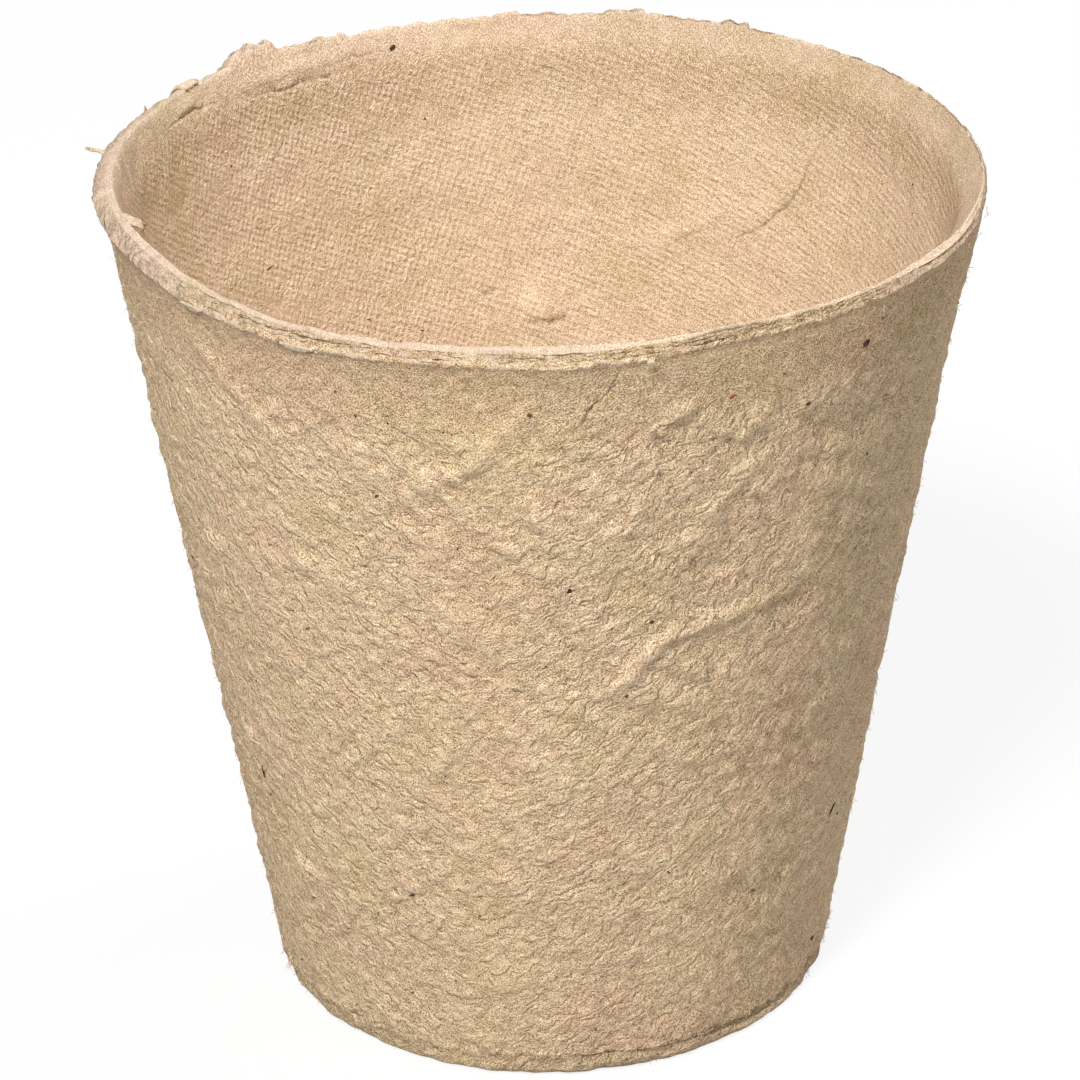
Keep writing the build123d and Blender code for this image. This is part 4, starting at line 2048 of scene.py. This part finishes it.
@dataclass
class Flecks:
    """Bits of bark, paper and ink, pressed into one face of the wall.

    Attributes:
        shape: The pot's section.
        name: The piece's name.
        slot: Its material slot; not used.
        finish: Its look.
        face: The face that they lie in.
        placed: Specks at known places.
        scattered: How many smaller ones are scattered over the face.
        seed: Picks one of many unlike scatters.
        thickness: Their thickness, in metres.

    The spans are of the scattered ones' azimuth, height, length, width and tilt.
    """

    SPANS = ((0.0, 360.0), (3.0, 74.0), (0.12, 0.4), (0.07, 0.18), (0.0, 180.0))

    shape: PotShape
    name: str
    slot: str
    finish: PlainFinish
    face: Face
    placed: tuple[Fleck, ...]
    scattered: int = 0
    seed: int = 3
    thickness: float = 0.14 * MM

    def specks(self) -> list[Fleck]:
        """The placed specks and the scattered ones.

        Returns:
            The specks.
        """
        draw = random.Random(self.seed)
        loose = [Fleck(*(draw.uniform(*span) for span in self.SPANS)) for _ in range(self.scattered)]
        return [*self.placed, *loose]

    def build(self) -> bpy.types.Object:
        """Builds and dresses the specks.

        Returns:
            The piece.
        """
        specks = self.specks()
        turns = np.array([speck.azimuth for speck in specks])
        heights = np.array([speck.height for speck in specks]) * MM
        outside = self.face is Face.OUTSIDE
        depth = np.full(len(specks), 0.0 if outside else self.shape.wall)
        along = heights / math.cos(self.shape.taper) - depth * math.tan(self.shape.taper)
        skin = Skin.at(self.shape, turns, along, depth)
        relief = (OutsideRelief() if outside else InsideRelief()).heights(skin)[0]
        facing = skin.outward if outside else -skin.outward
        places = skin.points + facing * relief[:, None] + RimLine.sway(skin)
        shell = bmesh.new()
        for index, speck in enumerate(specks):
            out, up = Vector(facing[index]), Vector(skin.rising[index])
            turned = Matrix((up.cross(out), up, out)).transposed().to_4x4()
            sides = (speck.length * MM, speck.width * MM, self.thickness)
            size = Matrix.Diagonal((*(side / 2.0 for side in sides), 1.0))
            spot = Matrix.Translation(places[index])
            tilt = Matrix.Rotation(math.radians(speck.tilt), 4, "Z")
            made = bmesh.ops.create_icosphere(shell, subdivisions=2, radius=1.0)
            for vert in made["verts"]:
                vert.co *= 1.0 + 0.45 * noise.noise(vert.co * 1.3 + Vector((3.7 * index, 0.0, 0.0)))
            bmesh.ops.transform(shell, matrix=spot @ turned @ tilt @ size, verts=made["verts"])
        return add_piece(self.name, meshed(shell, self.name), self.finish.material())


def flecks(shape: PotShape) -> list[Flecks]:
    """The specks in the pot's faces.

    Args:
        shape: The pot's section.

    Returns:
        The groups of specks.
    """
    bark = (
        Fleck(315.0, 70.8, 0.95, 0.75, 20.0),
        Fleck(305.7, 67.0, 0.5, 0.4),
        Fleck(244.6, 19.1, 0.55, 0.3, 30.0),
        Fleck(330.6, 20.2, 1.4, 0.3, 60.0),
        Fleck(334.9, 4.9, 0.7, 0.4, 10.0),
        Fleck(210.6, 25.4, 1.5, 0.12, 85.0),
        Fleck(243.1, 40.2, 1.1, 0.1, 20.0),
        Fleck(284.8, 48.7, 0.45, 0.35),
        Fleck(281.4, 41.6, 0.4, 0.25, 40.0),
        Fleck(268.0, 70.5, 0.4, 0.35),
        Fleck(247.0, 61.0, 0.5, 0.25, 50.0),
    )
    inside_bark = (
        Fleck(112.2, 74.2, 0.7, 0.35, 30.0),
        Fleck(345.0, 70.0, 0.5, 0.3),
        Fleck(140.0, 57.6, 0.9, 0.15, 10.0),
    )
    red_paper = (Fleck(294.2, 69.5, 0.8, 0.4, 30.0),)
    ink = (Fleck(272.7, 52.5, 0.7, 0.6, 20.0),)
    return [
        Flecks(shape, "bark_flecks", "outer_pulp", BARK, Face.OUTSIDE, bark, 110, 3),
        Flecks(shape, "inside_bark_flecks", "screen_side_pulp", BARK, Face.INSIDE, inside_bark, 50, 4),
        Flecks(shape, "red_paper_fleck", "outer_pulp", RED_PAPER, Face.OUTSIDE, red_paper),
        Flecks(shape, "ink_fleck", "outer_pulp", INK, Face.OUTSIDE, ink),
    ]


@dataclass
class Studio:
    """Pale floor, soft lamps and the camera.

    Attributes:
        lens: The camera's focal length, in millimetres.
        sensor: Width of its picture behind the lens, in millimetres.
        distance: How far the camera is from what it looks at, in metres.
        aim: The point that it looks at, in metres.
        elevation: Its angle above the horizon, in radians.
        roll: Its turn about its own line of sight, in radians.
        sky: Strength of the light from all round.

    A lamp's entry is its name, its place and its side in metres, and its power in watts. The floor has one
    grey for the camera and another for the light that it throws back.
    """

    LAMPS = (
        ("key_lamp", (-0.216, -0.536, 0.73), 0.2, 9.9),
        ("fill_lamp", (0.564, -0.395, 0.619), 0.45, 0.6),
        ("back_lamp", (0.35, 0.25, 0.62), 0.35, 3.2),
    )
    LAMP_AIM = (0.0, 0.0, 0.04)
    FLOOR_REACH = 3.0
    FLOOR_DROP = 0.05 * MM
    FLOOR_SEEN = (0.86, 0.86, 0.86)
    FLOOR_THROWN = (0.5, 0.5, 0.5)
    FLOOR_GLOW = 0.85

    lens: float = 149.25
    sensor: float = 36.0
    distance: float = 397.4 * MM
    aim: tuple[float, float, float] = (-0.612 * MM, 0.0, 40.07 * MM)
    elevation: float = math.radians(27.32)
    roll: float = math.radians(-0.93)
    sky: float = 0.06

    def build(self) -> None:
        """Builds the floor, the light and the camera."""
        self.add_floor()
        self.add_sky()
        for lamp in self.LAMPS:
            self.add_lamp(*lamp)
        self.add_camera()
        bpy.context.scene.view_settings.view_transform = "Standard"

    def add_floor(self) -> None:
        """Adds the floor that the pot stands on."""
        sheet = bmesh.new()
        bmesh.ops.create_grid(sheet, x_segments=1, y_segments=1, size=self.FLOOR_REACH)
        bmesh.ops.translate(sheet, verts=sheet.verts[:], vec=(0.0, 0.0, -self.FLOOR_DROP))
        mesh = meshed(sheet, "floor")
        graph = ShaderGraph("floor_paint")
        path = graph.node("ShaderNodeLightPath").outputs
        paint = graph.mix(Value(graph, path["Is Camera Ray"]), self.FLOOR_THROWN, self.FLOOR_SEEN)
        matte = graph.node("ShaderNodeBsdfDiffuse", None, {"Color": paint})
        glow = graph.node("ShaderNodeEmission", None, {"Color": (1, 1, 1, 1), "Strength": 1.0})
        rays = ("Is Camera Ray", "Is Glossy Ray", "Is Transmission Ray")
        share = sum(Value(graph, path[ray]) for ray in rays) * self.FLOOR_GLOW
        seen = graph.node("ShaderNodeMixShader", None, {0: share, 1: matte.outputs[0], 2: glow.outputs[0]})
        graph.node("ShaderNodeOutputMaterial", None, {"Surface": seen.outputs[0]})
        mesh.materials.append(graph.material)
        floor = bpy.data.objects.new("floor", mesh)
        bpy.context.scene.collection.objects.link(floor)

    def add_sky(self) -> None:
        """Adds even light from all round."""
        world = bpy.data.worlds.new("studio")
        world.use_nodes = True
        world.node_tree.nodes["Background"].inputs["Color"].default_value = (1, 1, 1, 1)
        world.node_tree.nodes["Background"].inputs["Strength"].default_value = self.sky
        bpy.context.scene.world = world

    def add_lamp(self, name: str, place: tuple[float, float, float], size: float, power: float) -> None:
        """Adds a soft lamp that faces the pot.

        Args:
            name: The lamp's name.
            place: Where it hangs, in metres.
            size: Its side, in metres.
            power: Its power, in watts.
        """
        lamp = bpy.data.lights.new(name, "AREA")
        lamp.size = size
        lamp.energy = power
        holder = bpy.data.objects.new(name, lamp)
        aim = Vector(self.LAMP_AIM) - Vector(place)
        holder.matrix_world = Matrix.Translation(place) @ aim.to_track_quat("-Z", "Y").to_matrix().to_4x4()
        bpy.context.scene.collection.objects.link(holder)

    def add_camera(self) -> None:
        """Adds the camera at the photograph's angle."""
        lens = bpy.data.cameras.new("camera")
        lens.lens = self.lens
        lens.sensor_width = self.sensor
        lens.clip_start = 10.0 * MM
        camera = bpy.data.objects.new("camera", lens)
        back = Vector((0.0, -math.cos(self.elevation), math.sin(self.elevation)))
        upright = Vector((0.0, math.sin(self.elevation), math.cos(self.elevation)))
        level = Vector((1.0, 0.0, 0.0))
        right = level * math.cos(self.roll) + upright * math.sin(self.roll)
        up = upright * math.cos(self.roll) - level * math.sin(self.roll)
        turn = Matrix((right, up, back)).transposed().to_4x4()
        camera.matrix_world = Matrix.Translation(Vector(self.aim) + back * self.distance) @ turn
        bpy.context.scene.collection.objects.link(camera)
        bpy.context.scene.camera = camera


def plies(shape: PotShape) -> list[Ply]:
    """The pot's plies, from the inside out.

    Args:
        shape: The pot's section.

    Returns:
        The plies.
    """
    cups = ("outer_core_ply", "inner_core_ply", "inner_ply")
    outer_core, inner_core, inner = (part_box(node)[0].z for node in cups)
    screen_side = {"slot": "screen_side_pulp", "finish": SCREEN_PULP, "shown": Face.INSIDE}
    core = {"slot": "core_pulp", "finish": CORE_PULP, "shown": Face.EDGE_ONLY, "drawn": RimLine.DRAWN}
    outside = {"outer": 0.0, "inner": outer_core, "shown": Face.OUTSIDE}
    return [
        InnerPly(
            shape, "inner_ply", outer=inner, inner=shape.wall,
            ragged=0.16 * MM, bulge=0.2 * MM, seed=Ply.SHARED_SEED, **screen_side,
        ),
        Ply(
            shape, "inner_core_ply", outer=inner_core, inner=inner,
            ragged=0.28 * MM, bulge=0.08 * MM, seed=40, **core,
        ),
        Ply(
            shape, "outer_core_ply", outer=outer_core, inner=inner_core,
            ragged=0.3 * MM, bulge=0.08 * MM, seed=60, **core,
        ),
        OuterPly(
            shape, "outer_ply", "outer_pulp", OUTER_PULP,
            ragged=0.3 * MM, bulge=0.05 * MM, seed=80, **outside,
        ),
        BasePly(shape, "base_ply", "base_pulp", BASE_PULP, ragged=0.0, bulge=0.0, seed=100, **outside),
    ]


def main() -> None:
    """Builds the pot and its studio."""
    logging.basicConfig(level=logging.INFO, format="%(name)s %(message)s")
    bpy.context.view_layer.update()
    shape = PotShape.of_frame()
    for assembly in (*plies(shape), TornFlaps(), LooseFibres(shape), *flecks(shape)):
        assembly.build()
    Studio().build()


if __name__ == "__main__":
    main()
